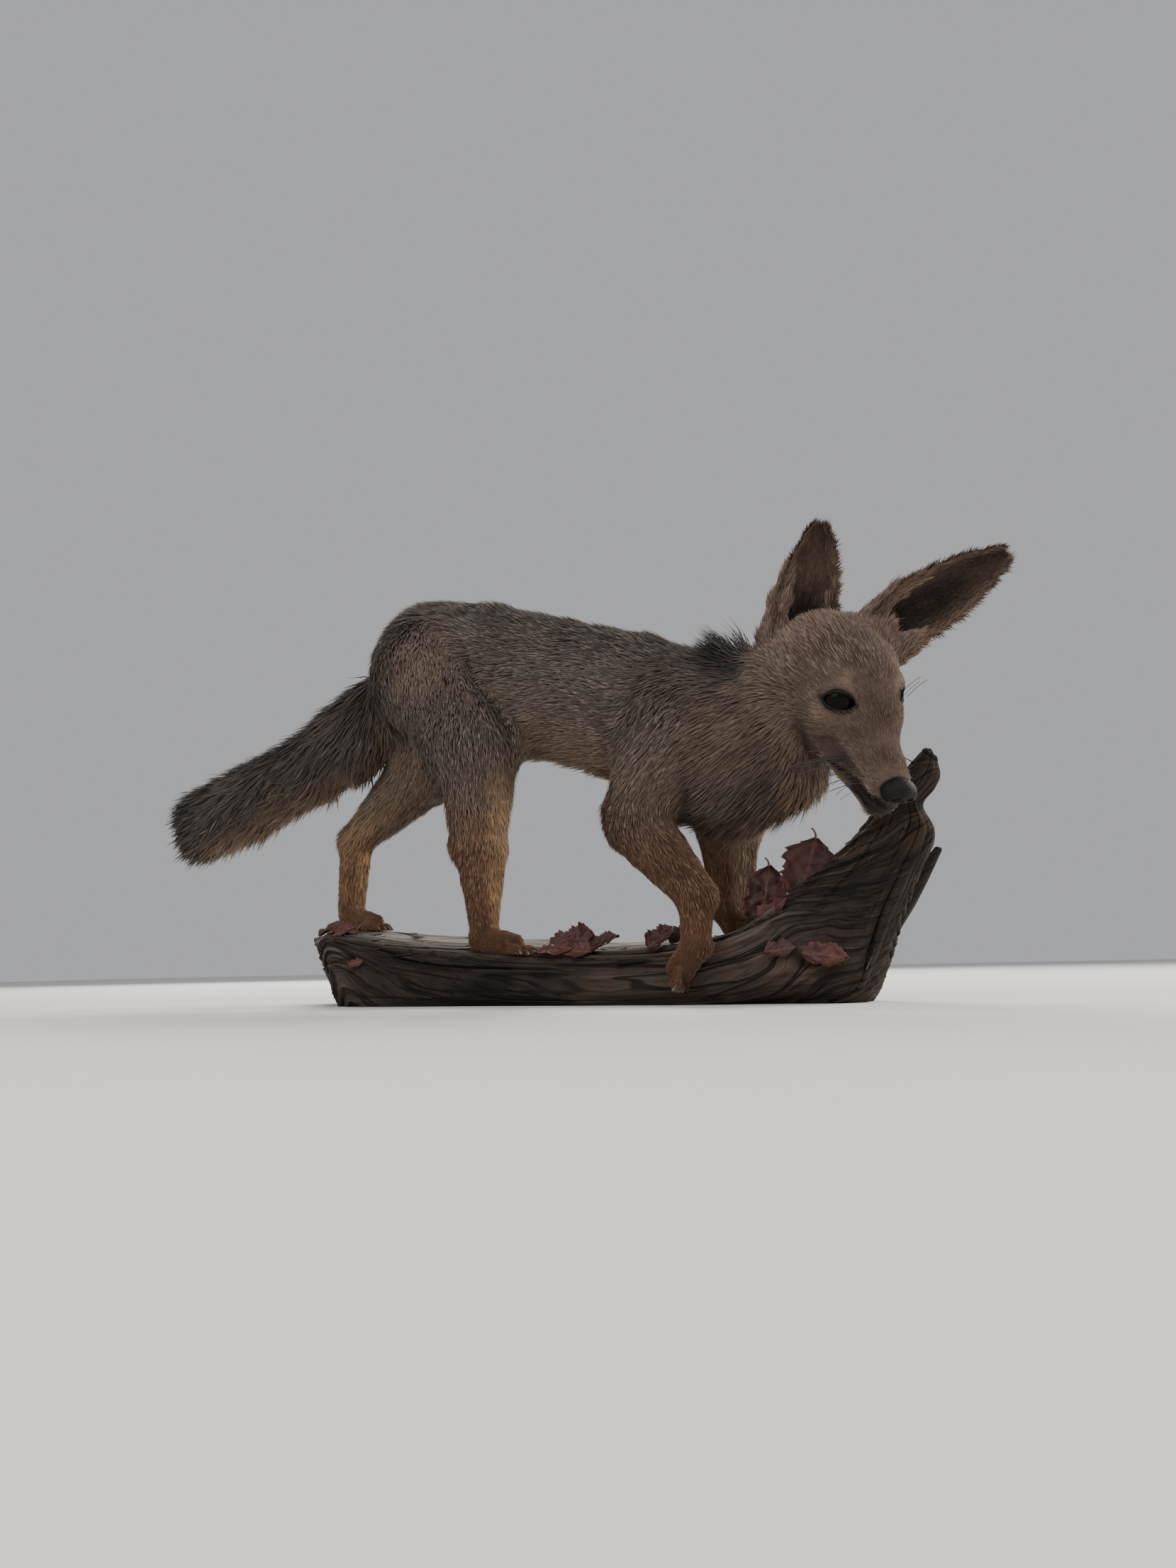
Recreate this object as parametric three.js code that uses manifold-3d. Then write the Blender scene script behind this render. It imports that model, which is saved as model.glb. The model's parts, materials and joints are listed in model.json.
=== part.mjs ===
// A fox on driftwood: a still, life-size museum model.
// Millimetres, +Z up. The origin lies on the flat underside of the driftwood, +X runs along the
// log towards the fox's head, and +Y is the fox's left side.
//
// The body is one smooth distance field, blended from tapered bones with oval sections. Its zero
// surface is the outside of the coat. The field is meshed region by region and parted by thin
// flat cuts, so that every part of the body is a solid of its own.
import * as THREE from "three";
import { mergeVertices } from "three/addons/utils/BufferGeometryUtils.js";
import Module from "manifold-3d";

const wasm = await Module();
wasm.setup();

// ---------------------------------------------------------------- driving dimensions
const GAP = 0.4; // between neighbouring solids
// edge of the cubes that each region of the field is meshed with
const CELL = { head: 8.7, neck: 15, trunk: 17.5, tail: 15.4, upper: 14.6, lower: 12.9, paw: 9.6 };

const HEAD = {
  at: [222, -72, 193], // midpoint of the two eyes
  heading: -40, // degrees from +X, turned to the fox's right
  pitch: 55, // muzzle axis below the horizontal
  roll: 4,
};
const EYE = { x: 0, y: 19.5, z: 1, radius: 9.5 };
const NOSE = { at: [61, 0, -19], half: [8, 10.5, 9] };
// Each ear is a curled leaf of skin. base and tip are where its middle line starts and ends, and
// opening is the way its hollow side faces.
const EAR = {
  halfWidth: 22,
  curl: 15, // how far the edges come forward of the middle line
  bend: 1.15, // radians from the middle line to an edge
  sink: 6, // the base starts this far inside the root
  thickness: 3.4,
  acrossSteps: 6,
  alongSteps: 6,
  rootDepth: 14, // the furry root runs from here inside the skull
  rootReach: 9, // to here along the ear
  rootRadius: 17,
};
const EARS = {
  ear_right: { base: [174, -50, 249], tip: [197, -62, 330], opening: [0.55, -0.8, -0.1] },
  ear_left: { base: [230, -29, 253], tip: [313, -12, 301], opening: [0.2, -0.85, -0.5] },
};

// ---------------------------------------------------------------- vectors
const vec = (a) => new THREE.Vector3(a[0], a[1], a[2]);
const rad = THREE.MathUtils.degToRad;

function headMatrix() {
  const turn = new THREE.Matrix4().makeRotationZ(rad(HEAD.heading));
  turn.multiply(new THREE.Matrix4().makeRotationY(rad(HEAD.pitch)));
  turn.multiply(new THREE.Matrix4().makeRotationX(rad(HEAD.roll)));
  return turn.setPosition(vec(HEAD.at));
}
const HEAD_TO_BODY = headMatrix();
const HEAD_SIDE = new THREE.Vector3(0, 1, 0).transformDirection(HEAD_TO_BODY);

// ---------------------------------------------------------------- bones
// A bone runs from a to b. Its oval section has a half-width across (along `side`) and a
// half-depth the other way at each end, and cap is how far it bulges past each end.
const bones = [];

function bone(a, b, ends, { blend = 8, side = [0, 1, 0], caps = null, inHead = false } = {}) {
  const [wa, da, wb, db] = ends;
  const start = vec(a);
  const end = vec(b);
  const sideways = inHead ? HEAD_SIDE.clone() : vec(side).normalize();
  if (inHead) {
    start.applyMatrix4(HEAD_TO_BODY);
    end.applyMatrix4(HEAD_TO_BODY);
  }
  const axis = end.clone().sub(start);
  const length = Math.max(axis.length(), 1e-6);
  axis.divideScalar(length);
  const [ca, cb] = caps ?? [Math.min(wa, da), Math.min(wb, db)];
  bones.push({ start, axis, length, sideways, wa, da, wb, db, ca, cb, blend });
}

const limb = (a, b, ra, rb, blend = 8) => bone(a, b, [ra, ra, rb, rb], { blend });

function chain(points, options) {
  for (let i = 1; i < points.length; i++) {
    const [a, wa, da] = points[i - 1];
    const [b, wb, db] = points[i];
    bone(a, b, [wa, da, wb, db], options);
  }
}

function buildTrunk() {
  chain(
    [
      [[-160, 3, 284], 43, 51],
      [[-95, -2, 266], 41, 56],
      [[-30, -8, 246], 43, 56],
      [[35, -16, 223], 46, 57],
      [[88, -25, 197], 46, 65],
    ],
    { blend: 5 },
  );
  const neck = { blend: 8, side: [0.3, 0.95, 0] };
  bone([88, -26, 196], [120, -34, 190], [46, 66, 45, 70], { ...neck, caps: [40, 34] });
  bone([120, -34, 188], [165, -50, 190], [45, 70, 41, 58], { ...neck, caps: [34, 24] });
}

function buildTail() {
  const stations = [
    [[-196, 6, 251], 37],
    [[-232, 9, 229], 38],
    [[-275, 13, 208], 34],
    [[-345, 18, 184], 36],
    [[-404, 21, 165], 36],
  ];
  for (let i = 1; i < stations.length; i++)
    limb(stations[i - 1][0], stations[i][0], stations[i - 1][1], stations[i][1], i === 1 ? 16 : 5);
}

function buildLegs() {
  // right hind leg, nearest when the fox faces right
  limb([-150, -20, 268], [-84, -42, 207], 42, 35, 20);
  limb([-140, -24, 258], [-102, -42, 205], 36, 31, 20);
  limb([-82, -44, 200], [-84, -41, 122], 35, 23, 12);
  limb([-86, -41, 122], [-98, -41, 124], 15, 10, 10);
  limb([-82, -41, 118], [-79, -41, 60], 21, 12.5, 8);
  limb([-80, -41, 50], [-56, -44, 47], 12, 12, 6);
  // left hind leg, set back
  limb([-150, 24, 268], [-166, 34, 208], 40, 36, 20);
  limb([-166, 34, 208], [-247, 31, 141], 35, 16, 12);
  limb([-247, 31, 140], [-251, 31, 84], 15.5, 12.5, 8);
  limb([-250, 31, 76], [-226, 31, 73], 12.5, 11, 6);
  // right foreleg, bent at the wrist with the paw hanging down
  limb([84, -50, 200], [54, -54, 138], 36, 27, 18);
  limb([54, -56, 126], [95, -60, 74], 25, 15.5, 10);
  limb([95, -60, 72], [94, -61, 42], 15, 12.5, 6);
  limb([93, -61, 36], [88, -61, 21], 12.5, 10.5, 6);
  // left foreleg, straight
  limb([92, 8, 185], [97, 13, 138], 34, 25, 18);
  limb([97, 13, 138], [99, 17, 72], 24, 13, 10);
  limb([99, 17, 68], [103, 16, 60], 12.5, 11.5, 6);
  limb([103, 16, 60], [112, 14, 58], 11.5, 10.5, 6);
}

function buildHead() {
  const inHead = { inHead: true };
  bone([-58, 0, -5], [-20, 0, -1], [37, 31, 29, 27], { ...inHead, blend: 14 });
  bone([-14, 0, 1], [14, 0, -7], [20, 20, 15.5, 15], { ...inHead, blend: 12 });
  bone([10, 0, -14], [54, 0, -21], [18, 19, 11.5, 12], { ...inHead, blend: 9, caps: [16, 8] });
  bone([-30, 0, -38], [45, 0, -37], [25, 16, 10, 8.5], { ...inHead, blend: 9 });
  for (const s of [1, -1]) {
    bone([-34, s * 25, -14], [-10, s * 21, -14], [16, 25, 12, 16], { ...inHead, blend: 10 });
    bone([-54, s * 27, -22], [-46, s * 28, -24], [18, 28, 18, 26], { ...inHead, blend: 14 });
    bone([-8, s * 17, 11], [7, s * 14, 7], [8, 7, 7, 5], { ...inHead, blend: 6 });
  }
  for (const { base, tip } of Object.values(EARS)) {
    const root = vec(base);
    const along = vec(tip).sub(root).normalize();
    const inner = root.clone().addScaledVector(along, -EAR.rootDepth).toArray();
    const outer = root.clone().addScaledVector(along, EAR.rootReach).toArray();
    limb(inner, outer, EAR.rootRadius, EAR.rootRadius * 0.7, 14);
  }
}

// Distance from a point to a bone's surface, good near the surface.
const offset = new THREE.Vector3();
function boneDistance(p, b) {
  offset.copy(p).sub(b.start);
  const along = offset.dot(b.axis);
  const held = Math.min(Math.max(along, 0), b.length);
  const t = held / b.length;
  const over = along - held;
  offset.addScaledVector(b.axis, -along);
  const s = offset.dot(b.sideways);
  const m = Math.sqrt(Math.max(offset.lengthSq() - s * s, 0));
  const w = b.wa + (b.wb - b.wa) * t;
  const d = b.da + (b.db - b.da) * t;
  const c = over < 0 ? b.ca : b.cb;
  const k0 = Math.hypot(s / w, m / d, over / c);
  const k1 = Math.hypot(s / w ** 2, m / d ** 2, over / c ** 2);
  return k1 < 1e-9 ? -Math.min(w, d) : (k0 * (k0 - 1)) / k1;
}

function smoothMin(a, b, k) {
  const h = Math.max(k - Math.abs(a - b), 0) / k;
  return Math.min(a, b) - h * h * k * 0.25;
}

function coatField(p) {
  let distance = 1e3;
  for (const b of bones) distance = smoothMin(distance, boneDistance(p, b), b.blend);
  return distance;
}

// ---------------------------------------------------------------- meshing a field
// Draws a point onto the field's zero surface, by at most a fifth of a cell.
const probe = new THREE.Vector3();
const slope = new THREE.Vector3();
function settle(p, field, cell) {
  const here = field(p);
  const h = 0.5;
  for (const axis of ["x", "y", "z"]) {
    probe.copy(p)[axis] += h;
    slope[axis] = (field(probe) - here) / h;
  }
  const most = 0.2 * cell;
  const move = THREE.MathUtils.clamp(here / Math.max(slope.length(), 0.5), -most, most);
  p.addScaledVector(slope.normalize(), -move);
}

// Surface nets: one vertex in each cell that the surface crosses, drawn onto the surface.
function surfaceNet(field, low, high, cell) {
  const n = [0, 1, 2].map((i) => Math.ceil((high[i] - low[i]) / cell) + 1);
  const index = (i, j, k) => (k * n[1] + j) * n[0] + i;
  const values = new Float64Array(n[0] * n[1] * n[2]).fill(1);
  const p = new THREE.Vector3();
  for (let k = 1; k < n[2] - 1; k++)
    for (let j = 1; j < n[1] - 1; j++)
      for (let i = 1; i < n[0] - 1; i++) {
        p.set(low[0] + i * cell, low[1] + j * cell, low[2] + k * cell);
        values[index(i, j, k)] = field(p);
      }
  const step = [1, n[0], n[0] * n[1]];
  const vertexOf = new Map();
  const positions = [];
  const corners = [];
  for (let c = 0; c < 8; c++) corners.push([c & 1, (c >> 1) & 1, (c >> 2) & 1]);
  for (let k = 0; k < n[2] - 1; k++)
    for (let j = 0; j < n[1] - 1; j++)
      for (let i = 0; i < n[0] - 1; i++) {
        const base = index(i, j, k);
        const v = corners.map(([a, b, c]) => values[base + a * step[0] + b * step[1] + c * step[2]]);
        const inside = v.filter((x) => x < 0).length;
        if (inside === 0 || inside === 8) continue;
        const sum = new THREE.Vector3();
        let crossings = 0;
        for (let a = 0; a < 8; a++)
          for (let bit = 1; bit < 8; bit <<= 1) {
            const b = a | bit;
            if (a & bit || v[a] < 0 === v[b] < 0) continue;
            const t = v[a] / (v[a] - v[b]);
            sum.x += corners[a][0] + t * (corners[b][0] - corners[a][0]);
            sum.y += corners[a][1] + t * (corners[b][1] - corners[a][1]);
            sum.z += corners[a][2] + t * (corners[b][2] - corners[a][2]);
            crossings++;
          }
        sum.divideScalar(crossings);
        vertexOf.set(base, positions.length / 3);
        p.set(low[0] + (i + sum.x) * cell, low[1] + (j + sum.y) * cell, low[2] + (k + sum.z) * cell);
        if (i > 1 && j > 1 && k > 1 && i < n[0] - 3 && j < n[1] - 3 && k < n[2] - 3) settle(p, field, cell);
        positions.push(p.x, p.y, p.z);
      }
  const triangles = [];
  const quad = (a, b, c, d, flip) => {
    const [q0, q1, q2, q3] = [a, b, c, d].map((id) => vertexOf.get(id));
    if (flip) triangles.push(q0, q2, q1, q0, q3, q2);
    else triangles.push(q0, q1, q2, q0, q2, q3);
  };
  for (let k = 0; k < n[2] - 1; k++)
    for (let j = 0; j < n[1] - 1; j++)
      for (let i = 0; i < n[0] - 1; i++) {
        const here = index(i, j, k);
        for (let axis = 0; axis < 3; axis++) {
          const there = here + step[axis];
          if (values[here] < 0 === values[there] < 0) continue;
          const u = step[(axis + 1) % 3];
          const w = step[(axis + 2) % 3];
          quad(here - u - w, here - w, here, here - u, values[here] >= 0);
        }
      }
  return { positions, triangles };
}

function solidFrom(positions, triangles) {
  return new wasm.Manifold(
    new wasm.Mesh({
      numProp: 3,
      vertProperties: new Float32Array(positions),
      triVerts: new Uint32Array(triangles),
    }),
  );
}

function solidOf(geometry) {
  const plain = geometry.clone();
  plain.deleteAttribute("normal");
  plain.deleteAttribute("uv");
  const merged = mergeVertices(plain, 1e-4);
  return solidFrom(merged.attributes.position.array, merged.index.array);
}

// ---------------------------------------------------------------- cuts
// A cut is a box that starts at a flat face through `at` and reaches `reach` along `into`.
function cutBox({ at, into, across, reach }, grow = 0) {
  const box = new THREE.BoxGeometry(across[0] + 2 * grow, across[1] + 2 * grow, reach + 2 * grow);
  box.translate(0, 0, -reach / 2);
  const turn = new THREE.Quaternion();
  turn.setFromUnitVectors(new THREE.Vector3(0, 0, -1), vec(into).normalize());
  box.applyQuaternion(turn);
  box.translate(...at);
  return box;
}

function boxBounds(box) {
  box.computeBoundingBox();
  return box.boundingBox;
}

const CUTS = {
  head: { at: [176, -52, 212], into: [0.88, -0.42, 0.2], across: [240, 240], reach: 170 },
  neck: { at: [112, -32, 195], into: [0.95, -0.3, 0], across: [260, 190], reach: 200 },
  tail_base: { at: [-214, 7, 240], into: [-0.88, 0.08, -0.47], across: [100, 94], reach: 300 },
  tail_middle: { at: [-282, 13, 206], into: [-0.95, 0.07, -0.32], across: [110, 110], reach: 240 },
  tail_tip: { at: [-352, 18, 182], into: [-0.95, 0.05, -0.3], across: [110, 110], reach: 150 },
};
const LEG_CUTS = {
  hindleg_right: [
    ["thigh", { at: [-98, -52, 214], into: [0.2, 0, -0.98], across: [112, 92], reach: 230 }],
    ["shank", { at: [-84, -43, 158], into: [0, 0, -1], across: [110, 90], reach: 150 }],
    ["foot", { at: [-80, -41, 78], into: [0, 0, -1], across: [110, 90], reach: 70 }],
  ],
  hindleg_left: [
    ["thigh", { at: [-182, 52, 206], into: [-0.3, 0, -0.95], across: [150, 92], reach: 210 }],
    ["shank", { at: [-214, 33, 164], into: [-0.5, 0, -0.86], across: [110, 90], reach: 160 }],
    ["foot", { at: [-249, 31, 96], into: [0, 0, -1], across: [120, 90], reach: 60 }],
  ],
  foreleg_right: [
    ["upper", { at: [54, -70, 150], into: [0.1, 0, -0.99], across: [86, 78], reach: 170 }],
    ["lower", { at: [73, -58, 102], into: [0.55, -0.05, -0.83], across: [100, 70], reach: 130 }],
    ["paw", { at: [94, -61, 52], into: [0, 0, -1], across: [80, 60], reach: 60 }],
  ],
  foreleg_left: [
    ["upper", { at: [98, 32, 134], into: [0, 0, -1], across: [110, 88], reach: 110 }],
    ["lower", { at: [98, 16, 108], into: [0, 0, -1], across: [80, 60], reach: 90 }],
    ["paw", { at: [100, 17, 72], into: [0, 0, -1], across: [80, 60], reach: 50 }],
  ],
};

// Where two sheets of the surface share a cell the net isn't a closed solid: its grid is shifted a
// little and meshed again.
function closedNet(field, bounds, cell) {
  const shifts = [0, 0.31, 0.57, 0.83];
  for (const shift of shifts) {
    const low = bounds.min.clone().subScalar(shift * cell);
    const net = surfaceNet(field, low.toArray(), bounds.max.toArray(), cell);
    try {
      return solidFrom(net.positions, net.triangles);
    } catch (error) {
      if (shift === shifts.at(-1)) throw error;
    }
  }
}

// The region of a field between one cut and the cuts that come after it.
function region(cell, keep, removed, limits, field = coatField) {
  const box = keep ? boxBounds(cutBox(keep)) : limits;
  const bounds = box.clone().intersect(limits).expandByScalar(2.2 * cell);
  let solid = closedNet(field, bounds, cell);
  if (keep) solid = solid.intersect(solidOf(cutBox(keep)));
  for (const cut of removed) solid = solid.subtract(solidOf(cutBox(cut, GAP)));
  return largest(solid);
}

function largest(solid) {
  const bodies = solid.decompose();
  return bodies.sort((a, b) => b.volume() - a.volume())[0];
}

// ---------------------------------------------------------------- ears, eyes and nose
// A closed sheet: front and back grids of points joined by a rim.
function sheetSolid(front, back, rows, columns) {
  const at = (row, column) => row * columns + column;
  const count = rows * columns;
  const triangles = [];
  const face = (a, b, c, d) => triangles.push(a, b, c, a, c, d);
  for (let r = 0; r + 1 < rows; r++)
    for (let c = 0; c + 1 < columns; c++) {
      const [p, q, s, t] = [at(r, c), at(r, c + 1), at(r + 1, c + 1), at(r + 1, c)];
      face(p, q, s, t);
      face(count + p, count + t, count + s, count + q);
    }
  const rim = [];
  for (let c = 0; c < columns; c++) rim.push(at(0, c));
  for (let r = 1; r < rows; r++) rim.push(at(r, columns - 1));
  for (let c = columns - 2; c >= 0; c--) rim.push(at(rows - 1, c));
  for (let r = rows - 2; r > 0; r--) rim.push(at(r, 0));
  rim.forEach((a, i) => {
    const b = rim[(i + 1) % rim.length];
    face(b, a, count + a, count + b);
  });
  const solid = solidFrom([...front, ...back].flatMap((p) => p.toArray()), triangles);
  return solid.volume() > 0 ? solid : sheetSolid(back, front, rows, columns);
}

function earSolid({ base, tip, opening }) {
  const up = vec(tip).sub(vec(base));
  const length = up.length();
  up.normalize();
  const out = vec(opening).projectOnPlane(up).normalize();
  const across = new THREE.Vector3().crossVectors(up, out);
  const front = [];
  const back = [];
  for (let r = 0; r <= EAR.alongSteps; r++) {
    const v = r / EAR.alongSteps;
    const width = EAR.halfWidth * (0.1 + 0.9 * Math.cos((v * 0.97) ** 1.5 * Math.PI * 0.5) ** 0.8);
    for (let c = 0; c <= EAR.acrossSteps; c++) {
      const u = (2 * c) / EAR.acrossSteps - 1;
      const bend = u * EAR.bend;
      const p = vec(base).addScaledVector(up, v * length - EAR.sink);
      p.addScaledVector(across, (width * Math.sin(bend)) / Math.sin(EAR.bend));
      p.addScaledVector(out, EAR.curl * (1 - 0.55 * v) * (1 - Math.cos(bend)) - 5 * (1 - v));
      const skin = EAR.thickness * (1 - 0.45 * v);
      front.push(p);
      back.push(p.clone().addScaledVector(out, -skin * (1 - 0.4 * u * u)));
    }
  }
  return sheetSolid(front, back, EAR.alongSteps + 1, EAR.acrossSteps + 1);
}

function ball(at, half, detail) {
  const sphere = new THREE.IcosahedronGeometry(1, detail);
  sphere.scale(...half);
  sphere.translate(...at);
  sphere.applyMatrix4(HEAD_TO_BODY);
  return solidOf(sphere);
}

function eyeSolid(side, grow = 0) {
  const r = EYE.radius + grow;
  return ball([EYE.x, side * EYE.y, EYE.z], [r, r, r], 1);
}

function noseSolid(grow = 0) {
  return ball(NOSE.at, NOSE.half.map((r) => r + grow), 1);
}

// ---------------------------------------------------------------- driftwood
// Every length of the wood is a loft of oval rings with worn ridges along the grain. A ring has a
// centre, two half-axis vectors and a squareness, and nothing of it goes below the flat underside.
const RING_POINTS = 14;
const FLAT_BELOW = 3.4; // whatever lies lower than this is planed flat

function ring(centre, acrossAxis, upAxis, { square = 1, ridge = 0, phase = 0 } = {}) {
  const points = [];
  for (let i = 0; i < RING_POINTS; i++) {
    const a = (i / RING_POINTS) * 2 * Math.PI;
    const power = (x) => Math.sign(x) * Math.abs(x) ** (1 / square);
    const worn = 1 + ridge * Math.sin(5 * a + phase) + 0.6 * ridge * Math.sin(9 * a - 2 * phase);
    const p = vec(centre);
    p.addScaledVector(vec(acrossAxis), worn * power(Math.cos(a)));
    p.addScaledVector(vec(upAxis), worn * power(Math.sin(a)));
    if (p.z < FLAT_BELOW) p.z = 0;
    points.push(p);
  }
  return points;
}

function loft(rings) {
  const n = rings[0].length;
  const positions = rings.flat().flatMap((p) => p.toArray());
  const triangles = [];
  for (let r = 0; r + 1 < rings.length; r++)
    for (let i = 0; i < n; i++) {
      const [a, b] = [r * n + i, r * n + ((i + 1) % n)];
      triangles.push(a, b, b + n, a, b + n, a + n);
    }
  for (const [r, flip] of [[0, true], [rings.length - 1, false]]) {
    const centre = new THREE.Vector3();
    rings[r].forEach((p) => centre.addScaledVector(p, 1 / n));
    const hub = positions.length / 3;
    positions.push(...centre.toArray());
    for (let i = 0; i < n; i++) {
      const [a, b] = [r * n + i, r * n + ((i + 1) % n)];
      triangles.push(...(flip ? [hub, b, a] : [hub, a, b]));
    }
  }
  const solid = solidFrom(positions, triangles);
  if (solid.volume() > 0) return solid;
  for (let i = 0; i < triangles.length; i += 3)
    [triangles[i + 1], triangles[i + 2]] = [triangles[i + 2], triangles[i + 1]];
  return solidFrom(positions, triangles);
}

// The log lies along X. Each station gives its front and back faces and the heights of the top at
// the front and at the back. skew carries the back along X, and lean carries the top.
const LOG = [
  { x: -222, front: -40, back: 42, topFront: 44, topBack: 60, skew: -66, lean: -12 },
  { x: -206, front: -50, back: 48, topFront: 50, topBack: 69, skew: -52, lean: -16 },
  { x: -182, front: -53, back: 49, topFront: 48, topBack: 67, skew: -34, lean: -12 },
  { x: -150, front: -54, back: 48, topFront: 43, topBack: 62, skew: -14, lean: -5 },
  { x: -100, front: -54, back: 46, topFront: 38, topBack: 57, skew: 0, lean: 0 },
  { x: -60, front: -53, back: 44, topFront: 36, topBack: 55, skew: 0, lean: 0 },
  { x: 12, front: -52, back: 43, topFront: 32, topBack: 51, skew: 0, lean: 0 },
  { x: 50, front: -51, back: 43, topFront: 33, topBack: 52, skew: 0, lean: 0 },
  { x: 90, front: -49, back: 42, topFront: 38, topBack: 55, skew: 0, lean: 0 },
  { x: 112, front: -47, back: 42, topFront: 44, topBack: 58, skew: 0, lean: 0 },
];

function logRings(stations) {
  return stations.map(({ x, front, back, topFront, topBack, skew, lean }, i) => {
    const middle = (topFront + topBack) / 4;
    const across = [skew / 2, (back - front) / 2, (topBack - topFront) / 4];
    const centre = [x + skew / 2, (front + back) / 2, middle];
    return ring(centre, across, [lean, 0, middle * 1.02], { square: 2.4, ridge: 0.018, phase: i * 0.5 });
  });
}

// The root end sweeps up to a blunt knob. Each station runs from its upper left edge to its lower
// right edge, with half its thickness.
const HORN = [
  { left: [112, 52], right: [112.5, -1], y: -2, half: 44, square: 2.2 },
  { left: [128, 58], right: [150, -1], y: -2, half: 43, square: 2.0 },
  { left: [145, 69], right: [190, 0], y: -2, half: 40, square: 1.9 },
  { left: [163, 83], right: [211, 25], y: -3, half: 34, square: 1.6 },
  { left: [182, 98], right: [222, 52], y: -4, half: 28, square: 1.4 },
  { left: [200, 116], right: [235, 80], y: -5, half: 22, square: 1.3 },
  { left: [216, 133], right: [245, 108], y: -7, half: 17, square: 1.2 },
  { left: [229, 150], right: [250, 130], y: -8, half: 13, square: 1.2 },
  { left: [238, 161], right: [255, 149], y: -9, half: 11, square: 1.1 },
  { left: [245, 168], right: [255, 160], y: -9, half: 7, square: 1 },
];

function hornRings(stations) {
  return stations.map(({ left, right, y, half, square }, i) => {
    const centre = [(left[0] + right[0]) / 2, y, (left[1] + right[1]) / 2];
    const up = [(left[0] - right[0]) / 2, 0, (left[1] - right[1]) / 2];
    return ring(centre, [0, half, 0], up, { square, ridge: 0.03, phase: i * 0.45 });
  });
}

// A long splinter stands off the right edge of the horn.
const SPLINTER = [
  { at: [214, 2, 38], half: 4 },
  { at: [222, 4, 51], half: 4.5 },
  { at: [232, 6, 66], half: 5 },
  { at: [241, 7, 84], half: 4.5 },
  { at: [249, 8, 102], half: 2.5 },
];

function splinterRings(stations) {
  return stations.map(({ at, half }) => ring(at, [half, 0, -half * 0.6], [0, half * 1.4, 0]));
}

// ---------------------------------------------------------------- dried leaves
// A leaf is a thin curled blade with a few lobes. up points from its stem end to its tip, and out
// is the way its hollow side faces.
const LEAF = { thickness: 1.1, acrossSteps: 4, alongSteps: 4 };
const LEAVES = {
  leaf_standing_left: { at: [130, -20, 60], up: [0.18, 0.1, 1], out: [0.2, -1, 0.1], size: [44, 18] },
  leaf_standing_right: { at: [161, -16, 81], up: [0.3, 0.05, 1], out: [0.3, -1, 0.2], size: [46, 19] },
  leaf_curled: { at: [118, -44, 54], up: [0.9, 0, 0.1], out: [0, -0.3, 1], size: [22, 9] },
  leaf_front_left: { at: [139, -47, 35], up: [1, 0, 0.1], out: [0, -1, 0.5], size: [22, 7] },
  leaf_front_right: { at: [164, -45, 34], up: [1, 0.05, -0.15], out: [0, -1, 0.4], size: [32, 9] },
  leaf_middle_left: { at: [-28, -34, 41], up: [0.5, 0.3, 0.5], out: [0.2, -0.8, 0.6], size: [34, 15] },
  leaf_middle_right: { at: [6, -36, 38], up: [0.7, 0.3, 0.5], out: [-0.2, -0.7, 0.7], size: [32, 14] },
  leaf_small: { at: [52, -40, 40], up: [0.6, 0.2, 0.4], out: [0.1, -0.8, 0.6], size: [24, 10] },
  leaf_end: { at: [-216, -14, 62], up: [-1, 0.2, 0.12], out: [0, -0.2, 1], size: [34, 12] },
};

function leafSolid({ at, up, out, size: [length, halfWidth] }) {
  const along = vec(up).normalize();
  const facing = vec(out).projectOnPlane(along).normalize();
  const across = new THREE.Vector3().crossVectors(along, facing);
  const front = [];
  const back = [];
  for (let r = 0; r <= LEAF.alongSteps; r++) {
    const v = r / LEAF.alongSteps;
    const lobes = 1 + 0.22 * Math.sin(v * 3.2 * Math.PI);
    const width = halfWidth * (0.12 + Math.sin(Math.PI * v ** 0.8) ** 0.8 * 0.88) * lobes;
    for (let c = 0; c <= LEAF.acrossSteps; c++) {
      const u = (2 * c) / LEAF.acrossSteps - 1;
      const p = vec(at).addScaledVector(along, length * v);
      p.addScaledVector(across, width * u);
      p.addScaledVector(facing, width * 0.45 * u * u + length * 0.16 * (v - 0.4) ** 2);
      front.push(p);
      back.push(p.clone().addScaledVector(facing, -LEAF.thickness));
    }
  }
  return sheetSolid(front, back, LEAF.alongSteps + 1, LEAF.acrossSteps + 1);
}

// ---------------------------------------------------------------- the group
const group = new THREE.Group();
const MATERIALS = {
  coat: { color: 0x6b5a48, roughness: 0.95, metalness: 0 },
  leg: { color: 0x8a5f3c, roughness: 0.95, metalness: 0 },
  ear: { color: 0x4a4038, roughness: 0.95, metalness: 0 },
  nose: { color: 0x17120f, roughness: 0.45, metalness: 0 },
  eye: { color: 0x0d0906, roughness: 0.08, metalness: 0 },
  driftwood: { color: 0x8b7862, roughness: 0.85, metalness: 0 },
  leaf: { color: 0x7a3f22, roughness: 0.8, metalness: 0 },
};

function addMesh(name, solid, material) {
  const mesh = solid.getMesh();
  const geometry = new THREE.BufferGeometry();
  geometry.setAttribute("position", new THREE.BufferAttribute(new Float32Array(mesh.vertProperties), 3));
  geometry.setIndex(new THREE.BufferAttribute(new Uint32Array(mesh.triVerts), 1));
  geometry.computeVertexNormals();
  const piece = new THREE.Mesh(geometry, new THREE.MeshStandardMaterial(MATERIALS[material]));
  piece.name = name;
  group.add(piece);
  return solid;
}

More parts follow.
